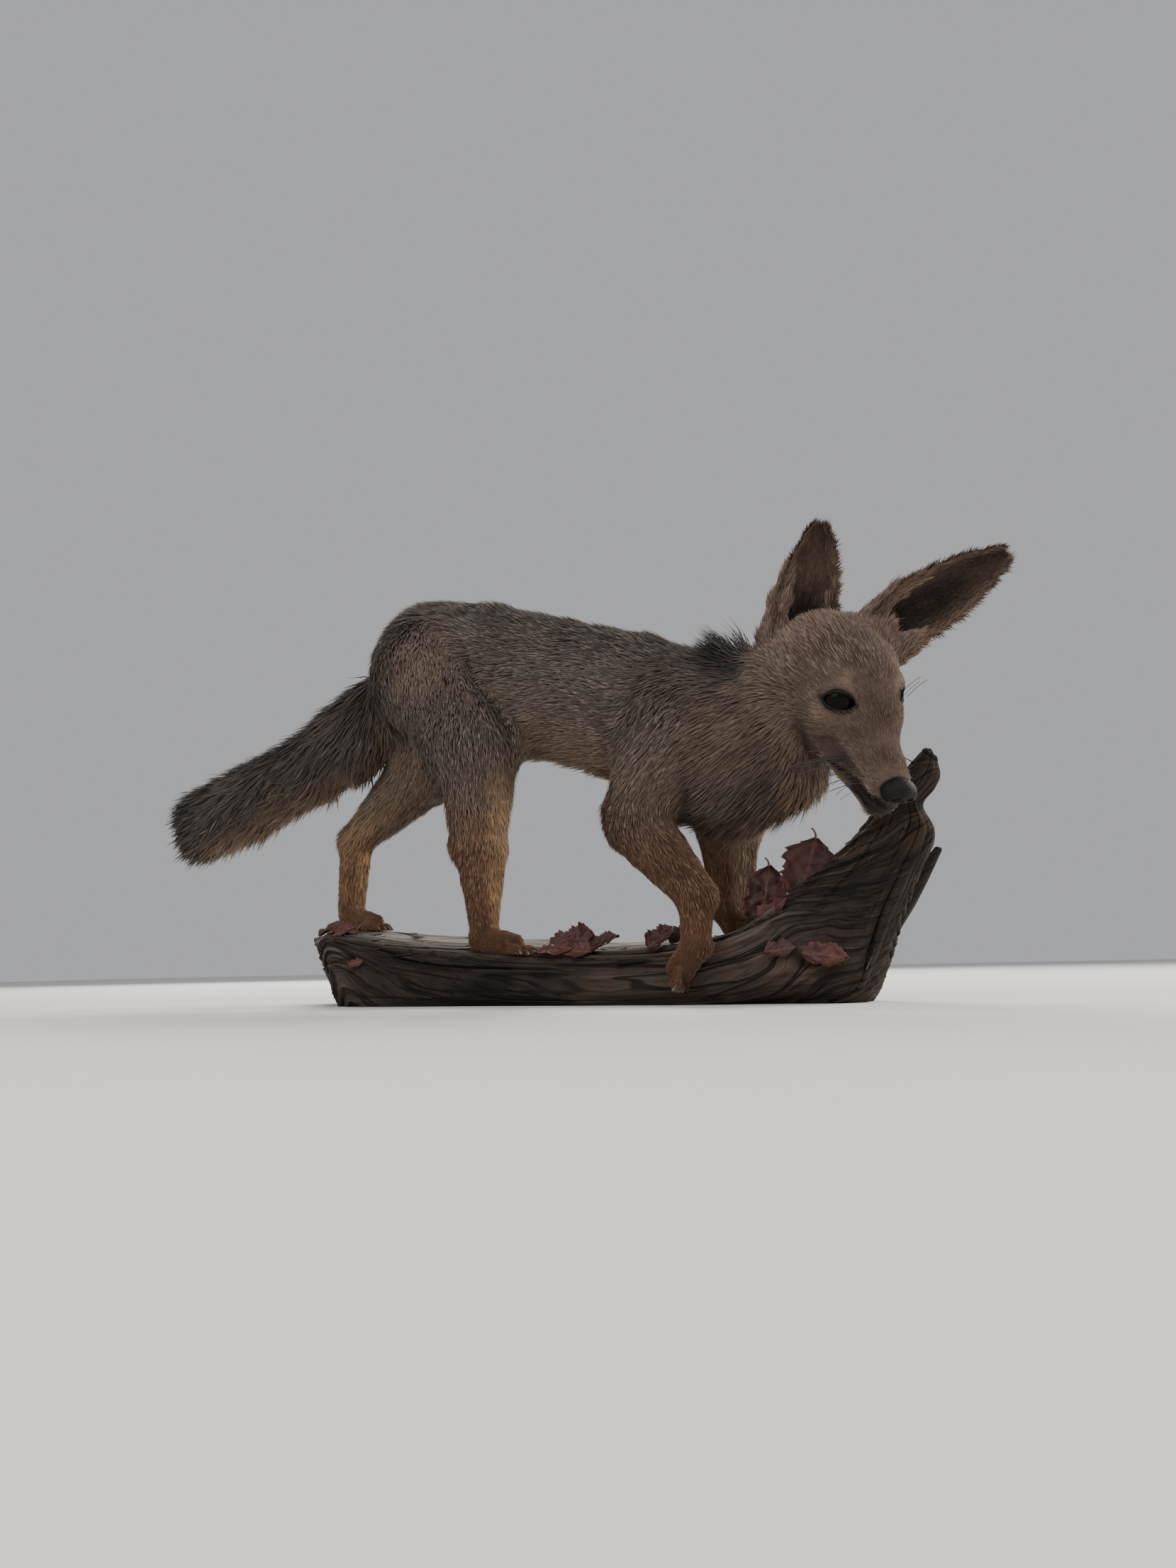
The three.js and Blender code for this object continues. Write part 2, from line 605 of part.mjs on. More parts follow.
const log = loft(logRings(LOG));
const hornKeep = { at: [112 + GAP, 0, 80], into: [1, 0, 0], across: [300, 300], reach: 300 };
const horn = loft(hornRings(HORN)).intersect(solidOf(cutBox(hornKeep)));
const raisedWood = log.add(horn).translate([0, 0, GAP]);
const splinter = loft(splinterRings(SPLINTER)).subtract(horn.translate([GAP, 0, GAP]));
addMesh("driftwood_log", log, "driftwood");
addMesh("driftwood_horn", horn, "driftwood");
addMesh("driftwood_splinter", largest(splinter), "driftwood");
for (const [name, leaf] of Object.entries(LEAVES))
  addMesh(name, largest(leafSolid(leaf).subtract(raisedWood).subtract(log.add(horn))), "leaf");

buildTrunk();
buildTail();
buildLegs();
buildHead();

const BODY = new THREE.Box3(new THREE.Vector3(-460, -150, 0), new THREE.Vector3(330, 90, 350));
const TRUNK = new THREE.Box3(new THREE.Vector3(-225, -110, 110), new THREE.Vector3(130, 90, 350));

const legCuts = Object.values(LEG_CUTS).map((cuts) => cuts[0][1]);
addMesh("trunk", region(CELL.trunk, null, [CUTS.neck, CUTS.tail_base, ...legCuts], TRUNK), "coat");
addMesh("neck", region(CELL.neck, CUTS.neck, [CUTS.head, ...legCuts], BODY), "coat");
addMesh("tail_base", region(CELL.tail, CUTS.tail_base, [CUTS.tail_middle], BODY), "coat");
addMesh("tail_middle", region(CELL.tail, CUTS.tail_middle, [CUTS.tail_tip], BODY), "coat");
addMesh("tail_tip", region(CELL.tail, CUTS.tail_tip, [], BODY), "coat");
for (const [leg, cuts] of Object.entries(LEG_CUTS))
  cuts.forEach(([part, cut], i) => {
    const after = cuts.slice(i + 1, i + 2).map(([, next]) => next);
    const cell = [CELL.upper, CELL.lower, CELL.paw][i];
    const tail = i < 2 ? [CUTS.tail_base] : [];
    const solid = region(cell, cut, [...after, ...tail], BODY);
    addMesh(leg + "_" + part, largest(solid.subtract(raisedWood)), "leg");
  });
let head = region(CELL.head, CUTS.head, [], BODY);
const headSpace = region(CELL.head, CUTS.head, [], BODY, (p) => coatField(p) - 2 * GAP);
const neckSpace = region(CELL.neck, CUTS.neck, [], BODY, (p) => coatField(p) - 2 * GAP);
for (const [name, ear] of Object.entries(EARS)) {
  const solid = earSolid(ear);
  addMesh(name, largest(solid.subtract(headSpace).subtract(neckSpace)), "ear");
}
for (const [name, side] of Object.entries({ eye_left: 1, eye_right: -1 })) {
  head = head.subtract(eyeSolid(side, GAP));
  addMesh(name, eyeSolid(side), "eye");
}
head = head.subtract(noseSolid(GAP));
addMesh("nose", noseSolid(), "nose");
addMesh("head", head, "coat");

export default group;
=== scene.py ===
import json
import logging
import math
from dataclasses import dataclass, field
from enum import Enum
from functools import cache
from itertools import product
from typing import Any, Callable, Sequence

import bmesh
import bpy
import numpy as np
from mathutils import Matrix, Vector

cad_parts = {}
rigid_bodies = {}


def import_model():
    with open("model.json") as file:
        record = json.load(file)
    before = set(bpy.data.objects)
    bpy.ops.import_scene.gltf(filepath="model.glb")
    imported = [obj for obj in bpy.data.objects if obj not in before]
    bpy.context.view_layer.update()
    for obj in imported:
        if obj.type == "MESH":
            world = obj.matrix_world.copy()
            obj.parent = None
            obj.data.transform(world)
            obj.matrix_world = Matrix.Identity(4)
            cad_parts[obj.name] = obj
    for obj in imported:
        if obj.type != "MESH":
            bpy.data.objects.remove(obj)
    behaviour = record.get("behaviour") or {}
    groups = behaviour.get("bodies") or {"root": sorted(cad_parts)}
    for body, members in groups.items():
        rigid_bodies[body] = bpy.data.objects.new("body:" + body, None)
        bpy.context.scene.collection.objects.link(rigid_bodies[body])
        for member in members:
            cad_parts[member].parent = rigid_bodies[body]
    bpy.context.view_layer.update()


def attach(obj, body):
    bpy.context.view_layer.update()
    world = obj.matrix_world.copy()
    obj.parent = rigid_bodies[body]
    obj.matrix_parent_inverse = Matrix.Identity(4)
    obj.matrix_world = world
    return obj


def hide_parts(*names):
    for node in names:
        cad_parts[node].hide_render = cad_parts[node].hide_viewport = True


# A fox on driftwood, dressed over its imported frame. Shapes are worked out in millimetres and in
# the frame's own axes, and become metres only when a mesh is made.

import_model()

Array = np.ndarray
Triple = tuple[float, float, float]
MM = 0.001
BODY = "root"
log = logging.getLogger("fox")

# the corners of a cell of a lattice
CUBE = np.array([(i, j, k) for k, j, i in product((0, 1), repeat=3)])
# the whole numbers that scramble a cell, a seed and what they give
CELL_STEPS = np.array([73856093, 19349663, 83492791])
SEED_STEP = 40503
SCRAMBLE = 1274126177


# ------------------------------------------------------------------------------- numbers
def unit(v: Array) -> Array:
    """Vectors scaled to length one, along the last axis."""
    return v / np.maximum(np.linalg.norm(v, axis=-1, keepdims=True), 1e-9)


def lengths(v: Array) -> Array:
    """The length of each row."""
    return np.linalg.norm(v, axis=1)


def smooth_min(a: Array, b: Array, k: float) -> Array:
    """The lesser of two distances, rounded where they are within k of each other."""
    h = np.maximum(k - np.abs(a - b), 0) / k
    return np.minimum(a, b) - h * h * k * 0.25


def smooth_max(a: Array, b: Array, k: float) -> Array:
    """The greater of two distances, rounded as smooth_min is."""
    return -smooth_min(-a, -b, k)


def rise(low: float, high: float, x: Array) -> Array:
    """A smooth step from 0 at low to 1 at high."""
    t = np.clip((x - low) / (high - low), 0, 1)
    return t * t * (3 - 2 * t)


def bell(x: Array, width: float) -> Array:
    """A bump of height 1 at zero that fades over width."""
    return np.exp(-np.square(x / width))


def noise(points: Array, seed: int) -> Array:
    """Smooth value noise on a unit lattice.

    Args:
        points: places, (N, 3), in lattice cells.
        seed: picks one of many such noises.

    Returns:
        One value from -1 to 1 for each point.
    """
    cell = np.floor(points).astype(np.int64)
    part = points - cell
    part = part * part * (3 - 2 * part)
    total = np.zeros(len(points))
    for bits in CUBE:
        weight = np.prod(np.where(bits, part, 1 - part), axis=1)
        key = cell + bits
        x, y, z = (key * CELL_STEPS).T
        mixed = x ^ y ^ z ^ (seed * SEED_STEP)
        mixed = (mixed ^ (mixed >> 13)) * SCRAMBLE
        total += weight * (((mixed ^ (mixed >> 16)) & 0xFFFF) / 32767.5 - 1)
    return total


def segment_distance(points: Array, a: Sequence[float], b: Sequence[float]) -> Array:
    """Distance of each point from the straight line between a and b."""
    start, end = np.array(a, float), np.array(b, float)
    axis = end - start
    t = np.clip((points - start) @ axis / (axis @ axis), 0, 1)
    return lengths(points - start - t[:, None] * axis)


def path_distance(points: Array, path: Sequence[Triple]) -> Array:
    """Distance of each point from a path of straight pieces."""
    return np.min([segment_distance(points, a, b) for a, b in zip(path, path[1:])], axis=0)


def mirrored(points: Array) -> Array:
    """Points folded onto the left side of the middle plane."""
    return np.stack([points[:, 0], np.abs(points[:, 1]), points[:, 2]], 1)


def mix(a: Array, b: Sequence[float], amount: Array) -> Array:
    """Colours a, (N, 3), drawn towards the colour b by amount, (N,)."""
    return a + (np.asarray(b) - a) * np.clip(amount, 0, 1)[:, None]


# ------------------------------------------------------------------------------- meshes
def new_mesh(
    name: str, points: Array, faces: Array | Sequence[Sequence[int]], smooth: bool = True
) -> bpy.types.Object:
    """A mesh object from points in millimetres.

    Args:
        name: the piece's name.
        points: (N, 3) in millimetres.
        faces: rows of vertex indices, all of one length when it is an array.
        smooth: shade it smooth.

    Returns:
        The object, at the origin, with its place in its mesh.
    """
    mesh = bpy.data.meshes.new(name)
    if isinstance(faces, np.ndarray):
        count, corners = faces.shape
        mesh.vertices.add(len(points))
        mesh.vertices.foreach_set("co", np.ascontiguousarray(points * MM, np.float32).ravel())
        mesh.loops.add(count * corners)
        mesh.loops.foreach_set("vertex_index", np.ascontiguousarray(faces, np.int32).ravel())
        mesh.polygons.add(count)
        mesh.polygons.foreach_set("loop_start", np.arange(count, dtype=np.int32) * corners)
        mesh.update(calc_edges=True)
    else:
        mesh.from_pydata((points * MM).tolist(), [], [list(f) for f in faces])
    mesh.validate()
    mesh.polygons.foreach_set("use_smooth", np.full(len(mesh.polygons), smooth))
    piece = bpy.data.objects.new(name, mesh)
    bpy.context.scene.collection.objects.link(piece)
    return piece


def vertex_vectors(mesh: bpy.types.Mesh, name: str) -> Array:
    """A vector of every vertex, co or normal, (N, 3)."""
    flat = np.empty(len(mesh.vertices) * 3, np.float32)
    mesh.vertices.foreach_get(name, flat)
    return flat.reshape(-1, 3).astype(float)


def mesh_points(mesh: bpy.types.Mesh) -> Array:
    """The mesh's vertices in millimetres, (N, 3)."""
    return vertex_vectors(mesh, "co") / MM


def mesh_corners(mesh: bpy.types.Mesh) -> Array:
    """The vertex index of every corner of the faces, one face after another."""
    flat = np.empty(len(mesh.loops), np.int32)
    mesh.loops.foreach_get("vertex_index", flat)
    return flat


def move_points(mesh: bpy.types.Mesh, points: Array) -> None:
    """Puts the mesh's vertices at points, in millimetres."""
    mesh.vertices.foreach_set("co", np.ascontiguousarray(points * MM, np.float32).ravel())
    mesh.update()


def paint(mesh: bpy.types.Mesh, **layers: Array) -> None:
    """Stores a colour (N, 3) or a number (N,) on each vertex, for every layer named."""
    for name, values in layers.items():
        if values.ndim == 2:
            layer = mesh.attributes.new(name, "FLOAT_COLOR", "POINT")
            solid = np.concatenate([values, np.ones((len(values), 1))], axis=1)
            layer.data.foreach_set("color", np.ascontiguousarray(solid, np.float32).ravel())
        else:
            layer = mesh.attributes.new(name, "FLOAT", "POINT")
            layer.data.foreach_set("value", np.ascontiguousarray(values, np.float32))


def unwrap(mesh: bpy.types.Mesh, places: Array) -> None:
    """Gives the mesh a UV map for baking, with a place (N, 2) for each vertex."""
    layer = mesh.uv_layers.new(name="OFBake")
    layer.data.foreach_set("uv", np.ascontiguousarray(places[mesh_corners(mesh)], np.float32).ravel())


def mend(mesh: bpy.types.Mesh, turn: bool = True, cut: bool = False) -> None:
    """Turns a closed mesh's faces outwards, and cuts them into triangles.

    Args:
        mesh: the mesh.
        turn: turn the faces.
        cut: cut them.
    """
    bm = bmesh.new()
    bm.from_mesh(mesh)
    if turn:
        bmesh.ops.recalc_face_normals(bm, faces=bm.faces)
    if cut:
        bmesh.ops.triangulate(bm, faces=bm.faces)
    bm.to_mesh(mesh)
    bm.free()


def ring_faces(count: int, around: int) -> list[tuple[int, ...]]:
    """The four-sided faces between each of `count` rings of points and the next."""
    places = [(r * around, i, (i + 1) % around) for r in range(count - 1) for i in range(around)]
    return [(r + i, r + j, r + around + j, r + around + i) for r, i, j in places]


def sheet_grid(rows: int, columns: int) -> tuple[Array, Array]:
    """A sheet's points row by row: u across it, from -1 to 1, and v along it, from 0 to 1."""
    v, u = np.meshgrid(np.linspace(0, 1, rows), np.linspace(-1, 1, columns), indexing="ij")
    return u.ravel(), v.ravel()


def sheet_faces(rows: int, columns: int) -> list[tuple[int, ...]]:
    """The faces of a thin closed sheet.

    Args:
        rows: points along it.
        columns: points across it.

    Returns:
        Faces over the points of the front, row by row, followed by the same of the back, and the
        rim between them.
    """
    faces, count = [], rows * columns
    for r in range(rows - 1):
        for c in range(columns - 1):
            a, b = r * columns + c, r * columns + c + 1
            d, e = a + columns, b + columns
            faces += [(a, b, e, d), (count + a, count + d, count + e, count + b)]
    rim = [*range(columns)]
    rim += [r * columns + columns - 1 for r in range(1, rows)]
    rim += [(rows - 1) * columns + c for c in range(columns - 2, -1, -1)]
    rim += [r * columns for r in range(rows - 2, 0, -1)]
    return faces + [(b, a, count + a, count + b) for a, b in zip(rim, rim[1:] + rim[:1])]


def settle(
    piece: bpy.types.Object, slot: str, *nodes: str, dress: "Dress | None" = None
) -> bpy.types.Object:
    """Args:
        piece: the piece.
        slot: the finish it has in the frame; not used.
        *nodes: the nodes it stands for.
        dress: its finish, where it has none yet.

    Returns:
        The piece.
    """
    if dress:
        piece.data.materials.append(dress.material())
    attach(piece, BODY)
    if nodes:
        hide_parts(*nodes)
    log.info("%s: %d faces", piece.name, len(piece.data.polygons))
    return piece


def surface_net(distance: Callable[[Array], Array], low: Array, high: Array, cell: float) -> tuple[Array, Array]:
    """Meshes the zero surface of a distance field with one vertex in each cell it crosses.

    Args:
        distance: gives the signed distance of points (N, 3).
        low: the box's lowest corner.
        high: its highest corner.
        cell: the grid's spacing.

    Returns:
        The vertices, (N, 3), and the four-sided faces, (M, 4), turned outwards.
    """
    block = 4
    count = (np.ceil((high - low) / cell / block).astype(int) + 1) * block + 1
    coarse_count = (count - 1) // block + 1

    def places(index: Array) -> Array:
        """The places of grid points."""
        return low + index * cell

    coarse_index = np.stack(np.meshgrid(*[np.arange(c) * block for c in coarse_count], indexing="ij"), -1)
    coarse = distance(places(coarse_index.reshape(-1, 3))).reshape(coarse_count)
    corners = np.stack(
        [coarse[i : i + coarse_count[0] - 1, j : j + coarse_count[1] - 1, k : k + coarse_count[2] - 1]
         for i, j, k in product((0, 1), repeat=3)]
    )
    reach = 1.6 * block * cell
    near = np.argwhere((np.abs(corners).min(0) < reach) | (corners.min(0) * corners.max(0) < 0))
    values = np.full(count, 1.0)
    sign = np.where(corners[0] < 0, -1.0, 1.0)
    values[:-1, :-1, :-1] = sign.repeat(block, 0).repeat(block, 1).repeat(block, 2)
    wanted = np.zeros(count, bool)
    local = np.stack(np.meshgrid(*[np.arange(block + 1)] * 3, indexing="ij"), -1).reshape(-1, 3)
    fine = (near[:, None] * block + local).reshape(-1, 3)
    wanted[fine[:, 0], fine[:, 1], fine[:, 2]] = True
    fine = np.argwhere(wanted)
    values[wanted] = distance(places(fine))
    inside = values < 0

    filled = sum(
        inside[i : count[0] - 1 + i, j : count[1] - 1 + j, k : count[2] - 1 + k].astype(np.int8)
        for i, j, k in product((0, 1), repeat=3)
    )
    active = np.argwhere((filled > 0) & (filled < 8))
    number = np.full(count, -1, np.int32)
    number[tuple(active.T)] = np.arange(len(active))
    at_corner = np.stack([values[tuple((active + o).T)] for o in CUBE], 1)
    total = np.zeros((len(active), 3))
    crossings = np.zeros(len(active))
    for a in range(8):
        for b in (a | bit for bit in (1, 2, 4) if not a & bit):
            va, vb = at_corner[:, a], at_corner[:, b]
            crossed = (va < 0) != (vb < 0)
            t = np.where(crossed, va / np.where(crossed, va - vb, 1), 0)
            total += np.where(crossed[:, None], CUBE[a] + t[:, None] * (CUBE[b] - CUBE[a]), 0)
            crossings += crossed
    points = low + (active + total / crossings[:, None]) * cell

    faces = []
    steps = np.eye(3, dtype=int)
    for axis in range(3):
        first = inside[tuple(slice(0, c - 1) if i == axis else slice(None) for i, c in enumerate(count))]
        second = inside[tuple(slice(1, None) if i == axis else slice(None) for i in range(3))]
        edges = np.argwhere(first != second)
        edges = edges[(edges[:, (axis + 1) % 3] > 0) & (edges[:, (axis + 2) % 3] > 0)]
        u, w = steps[(axis + 1) % 3], steps[(axis + 2) % 3]
        quad = np.stack([number[tuple((edges - s).T)] for s in (u + w, w, 0 * u, u)], 1)
        starts_inside = inside[tuple(edges.T)]
        faces.append(np.where(starts_inside[:, None], quad, quad[:, ::-1]))
    return points, np.concatenate(faces)


def slope(distance: Callable[[Array], Array], points: Array, step: float = 0.35) -> Array:
    """The gradient of a distance field at points."""
    axes = np.eye(3) * step
    return np.stack([distance(points + a) - distance(points - a) for a in axes], 1) / (2 * step)


def draw_to_surface(distance: Callable[[Array], Array], points: Array, rounds: int, most: float) -> Array:
    """Moves points onto the zero surface of a field, by at most `most` in each round."""
    for _ in range(rounds):
        gradient = slope(distance, points)
        size = np.maximum(lengths(gradient), 0.4)
        move = np.clip(distance(points) / size, -most, most)
        points = points - gradient / size[:, None] * move[:, None]
    return points


# ------------------------------------------------------------------------------- node trees
def operator(operation: str, swapped: bool = False) -> Callable[["Sock", Any], "Sock"]:
    """The method behind one of a Sock's operators.

    Args:
        operation: the Math node's operation.
        swapped: the Sock stands on the operator's right.

    Returns:
        The method.
    """
    def apply(own: "Sock", other: Any) -> "Sock":
        """Adds the Math node."""
        return own.graph.math(operation, *((other, own) if swapped else (own, other)))

    return apply


class Sock:
    """A socket that takes part in arithmetic: an expression on numbers adds its Math nodes."""

    def __init__(self, graph: "Graph", socket: bpy.types.NodeSocket) -> None:
        """Wraps one output of a tree."""
        self.graph = graph
        self.socket = socket

    __add__ = __radd__ = operator("ADD")
    __mul__ = __rmul__ = operator("MULTIPLY")
    __sub__, __rsub__ = operator("SUBTRACT"), operator("SUBTRACT", swapped=True)
    __truediv__, __pow__ = operator("DIVIDE"), operator("POWER")


class Graph:
    """Builds a shader or geometry node tree by plain calls."""

    def __init__(self, tree: bpy.types.NodeTree) -> None:
        """Starts on an empty tree."""
        self.tree = tree
        tree.nodes.clear()

    def node(self, kind: str, inputs: dict[str | int, Any] | None = None, **settings: Any) -> bpy.types.Node:
        """Adds a node.

        Args:
            kind: the node's type.
            inputs: a value or a Sock for each named or numbered input.
            **settings: the node's own properties, set first.

        Returns:
            The node.
        """
        made = self.tree.nodes.new(kind)
        for key, value in settings.items():
            setattr(made, key, value)
        for key, value in (inputs or {}).items():
            self.feed(made.inputs[key], value)
        return made

    def feed(self, socket: bpy.types.NodeSocket, value: Any) -> None:
        """Links a Sock to an input, or sets the input's value."""
        if isinstance(value, Sock):
            self.tree.links.new(value.socket, socket)
        elif isinstance(value, (tuple, list)) and socket.type == "RGBA" and len(value) == 3:
            socket.default_value = (*value, 1.0)
        else:
            socket.default_value = value

    def out(self, node: bpy.types.Node, key: str | int = 0) -> Sock:
        """One output of a node."""
        return Sock(self, node.outputs[key])

    def math(self, operation: str, a: Any, b: Any = 0.0) -> Sock:
        """One Math node."""
        return self.out(self.node("ShaderNodeMath", {0: a, 1: b}, operation=operation))

    def attribute(self, name: str, colour: bool = False) -> Sock:
        """A named attribute of the mesh, as a number or a colour."""
        found = self.node("ShaderNodeAttribute", attribute_name=name)
        return self.out(found, "Color" if colour else "Fac")

    def coordinates(self) -> Sock:
        """Object coordinates."""
        return self.out(self.node("ShaderNodeTexCoord"), "Object")

    def noise(self, where: Sock, scale: float, detail: float = 4.0, rough: float = 0.55, distort: float = 0) -> Sock:
        """Noise from 0 to 1."""
        inputs = {"Vector": where, "Scale": scale, "Detail": detail, "Roughness": rough, "Distortion": distort}
        return self.out(self.node("ShaderNodeTexNoise", inputs))

    def ramp(self, value: Sock, low: float, high: float) -> Sock:
        """A smooth step from 0 at low to 1 at high."""
        inputs = {"Value": value, "From Min": low, "From Max": high}
        return self.out(self.node("ShaderNodeMapRange", inputs, interpolation_type="SMOOTHSTEP"))

    def blend(self, factor: Any, a: Any, b: Any, mode: str = "MIX") -> Sock:
        """A colour between a and b."""
        made = self.node("ShaderNodeMix", data_type="RGBA", blend_type=mode)
        self.feed(made.inputs[0], factor)
        self.feed(made.inputs[6], a)
        self.feed(made.inputs[7], b)
        return self.out(made, 2)

    def bump(self, height: Sock, strength: float, distance: float) -> Sock:
        """A bumped normal."""
        inputs = {"Height": height, "Strength": strength, "Distance": distance}
        return self.out(self.node("ShaderNodeBump", inputs))


class Finish:
    """A finish. Each kind says in `surface` what feeds its shader."""

    name: str

    def surface(self, g: Graph) -> dict[str | int, Any]:
        """The inputs of the Principled shader, as values or sockets."""
        raise NotImplementedError

    def make(self) -> bpy.types.Material:
        """Builds the material."""
        material = bpy.data.materials.new(self.name)
        material.use_nodes = True
        graph = Graph(material.node_tree)
        shader = graph.node("ShaderNodeBsdfPrincipled", self.surface(graph))
        graph.node("ShaderNodeOutputMaterial", {"Surface": graph.out(shader)})
        return material


@dataclass(frozen=True)
class CoatFinish(Finish):
    """Hair: painted shade at the root, then the coat's colour, and pale tips on some of the tufts."""

    name: str = "coat_hair"
    root_shade: float = 0.42
    roughness: float = 0.62
    sheen: float = 0.05

    def surface(self, g: Graph) -> dict[str | int, Any]:
        """Made from the attributes marking, strand, shade and pale."""
        marking = g.attribute("marking", colour=True)
        strand = g.attribute("strand")
        shade = g.attribute("shade")
        pale = g.attribute("pale")
        # painted shade: every tuft is darker towards its root, deep in the coat
        root = g.blend(1.0, marking, (self.root_shade,) * 3, "MULTIPLY")
        body = g.blend(g.ramp(strand, 0.0, 0.6), root, marking)
        tipped = g.blend(g.ramp(strand, 0.5, 0.85) * pale, body, g.attribute("tip", colour=True))
        broad = g.noise(g.coordinates(), 38, 3)
        level = (0.62 + shade * 0.7) * (0.86 + broad * 0.28)
        tone = g.node("ShaderNodeCombineColor", {0: level, 1: level, 2: level})
        colour = g.blend(1.0, tipped, g.out(tone), "MULTIPLY")
        return {
            "Base Color": colour, "Roughness": self.roughness, "Sheen Weight": self.sheen,
            "Sheen Roughness": 0.5, "Specular IOR Level": 0.25,
        }


@dataclass(frozen=True)
class SkinFinish(Finish):
    """The hide under the coat: the same markings, darker, with a fine hairy bump."""

    name: str = "skin_hide"
    depth: float = 0.0006

    def surface(self, g: Graph) -> dict[str | int, Any]:
        """Made from the attributes marking and bare."""
        marking = g.attribute("marking", colour=True)
        bare = g.attribute("bare")
        fine = g.noise(g.coordinates(), 900, 3)
        hairy = g.blend(fine, g.blend(1.0, marking, (0.4, 0.4, 0.4), "MULTIPLY"), marking)
        leathery = g.blend(g.noise(g.coordinates(), 420, 3), (0.005, 0.004, 0.004), (0.016, 0.012, 0.011))
        colour = g.blend(bare, hairy, leathery)
        height = g.noise(g.coordinates(), 1400, 2) * 0.5 + fine
        return {
            "Base Color": colour, "Roughness": 0.78 - bare * 0.25,
            "Normal": g.bump(height, 0.6, self.depth), "Specular IOR Level": 0.18,
        }


@dataclass(frozen=True)
class EyeFinish(Finish):
    """A glass eye, nearly black: a black upright pupil in a dark brown iris, under a thin gloss.

    centre is the ball's, gaze and upright are its axes and radius its size, all in metres.
    """

    name: str
    centre: Triple
    gaze: Triple
    upright: Triple
    radius: float

    def surface(self, g: Graph) -> dict[str | int, Any]:
        """Made from Object coordinates measured about the pupil."""
        where = g.coordinates()
        offset = g.out(g.node("ShaderNodeVectorMath", {0: where, 1: self.centre}, operation="SUBTRACT"))

        def along(axis: Triple) -> Sock:
            """The offset from the eye's centre along an axis, in radii."""
            dot = g.out(g.node("ShaderNodeVectorMath", {0: offset, 1: axis}, operation="DOT_PRODUCT"), "Value")
            return dot / self.radius

        sideways = Vector(self.upright).cross(Vector(self.gaze))
        across, up = along(tuple(sideways)), along(self.upright)
        distance = (across * across + up * up) ** 0.5
        pupil = g.ramp((across * across * 1.5 + up * up) ** 0.5, 0.56, 0.42)
        rays = g.noise(where, 1500, 3)
        iris = g.blend(rays, (0.003, 0.0022, 0.0015), (0.009, 0.005, 0.003))
        ringed = g.blend(g.ramp(distance, 0.60, 0.74), iris, (0.002, 0.0015, 0.0013))
        colour = g.blend(pupil, ringed, (0.001, 0.001, 0.001))
        return {
            "Base Color": colour, "Roughness": 0.5, "Coat Weight": 0.14, "Coat Roughness": 0.06,
            "Specular IOR Level": 0.04,
        }


@dataclass(frozen=True)
class LeatherFinish(Finish):
    """Bare dark skin: the pebbled nose, the lid rims and the lips."""

    name: str = "nose_leather"
    dark: Triple = (0.003, 0.0025, 0.0022)
    light: Triple = (0.013, 0.010, 0.009)
    pebble: float = 520
    roughness: float = 0.52

    def surface(self, g: Graph) -> dict[str | int, Any]:
        """Made from Object coordinates."""
        where = g.coordinates()
        cells = g.out(g.node("ShaderNodeTexVoronoi", {"Vector": where, "Scale": self.pebble}), "Distance")
        broad = g.noise(where, 120, 3)
        colour = g.blend(broad * 0.7 + cells * 0.3, self.dark, self.light)
        height = (1 - cells) + broad * 0.5
        return {
            "Base Color": colour, "Roughness": self.roughness + broad * 0.16, "Specular IOR Level": 0.16,
            "Normal": g.bump(height, 0.55, 0.0005),
        }


@dataclass(frozen=True)
class HornFinish(Finish):
    """Claws and whiskers: smooth dark horn, a little paler at the tip."""

    name: str
    root: Triple
    tip: Triple
    roughness: float = 0.35

    def surface(self, g: Graph) -> dict[str | int, Any]:
        """Made from the attribute strand."""
        streak = g.noise(g.coordinates(), 700, 2)
        colour = g.blend(g.attribute("strand") * 0.8 + streak * 0.2, self.root, self.tip)
        return {"Base Color": colour, "Roughness": self.roughness + streak * 0.15}


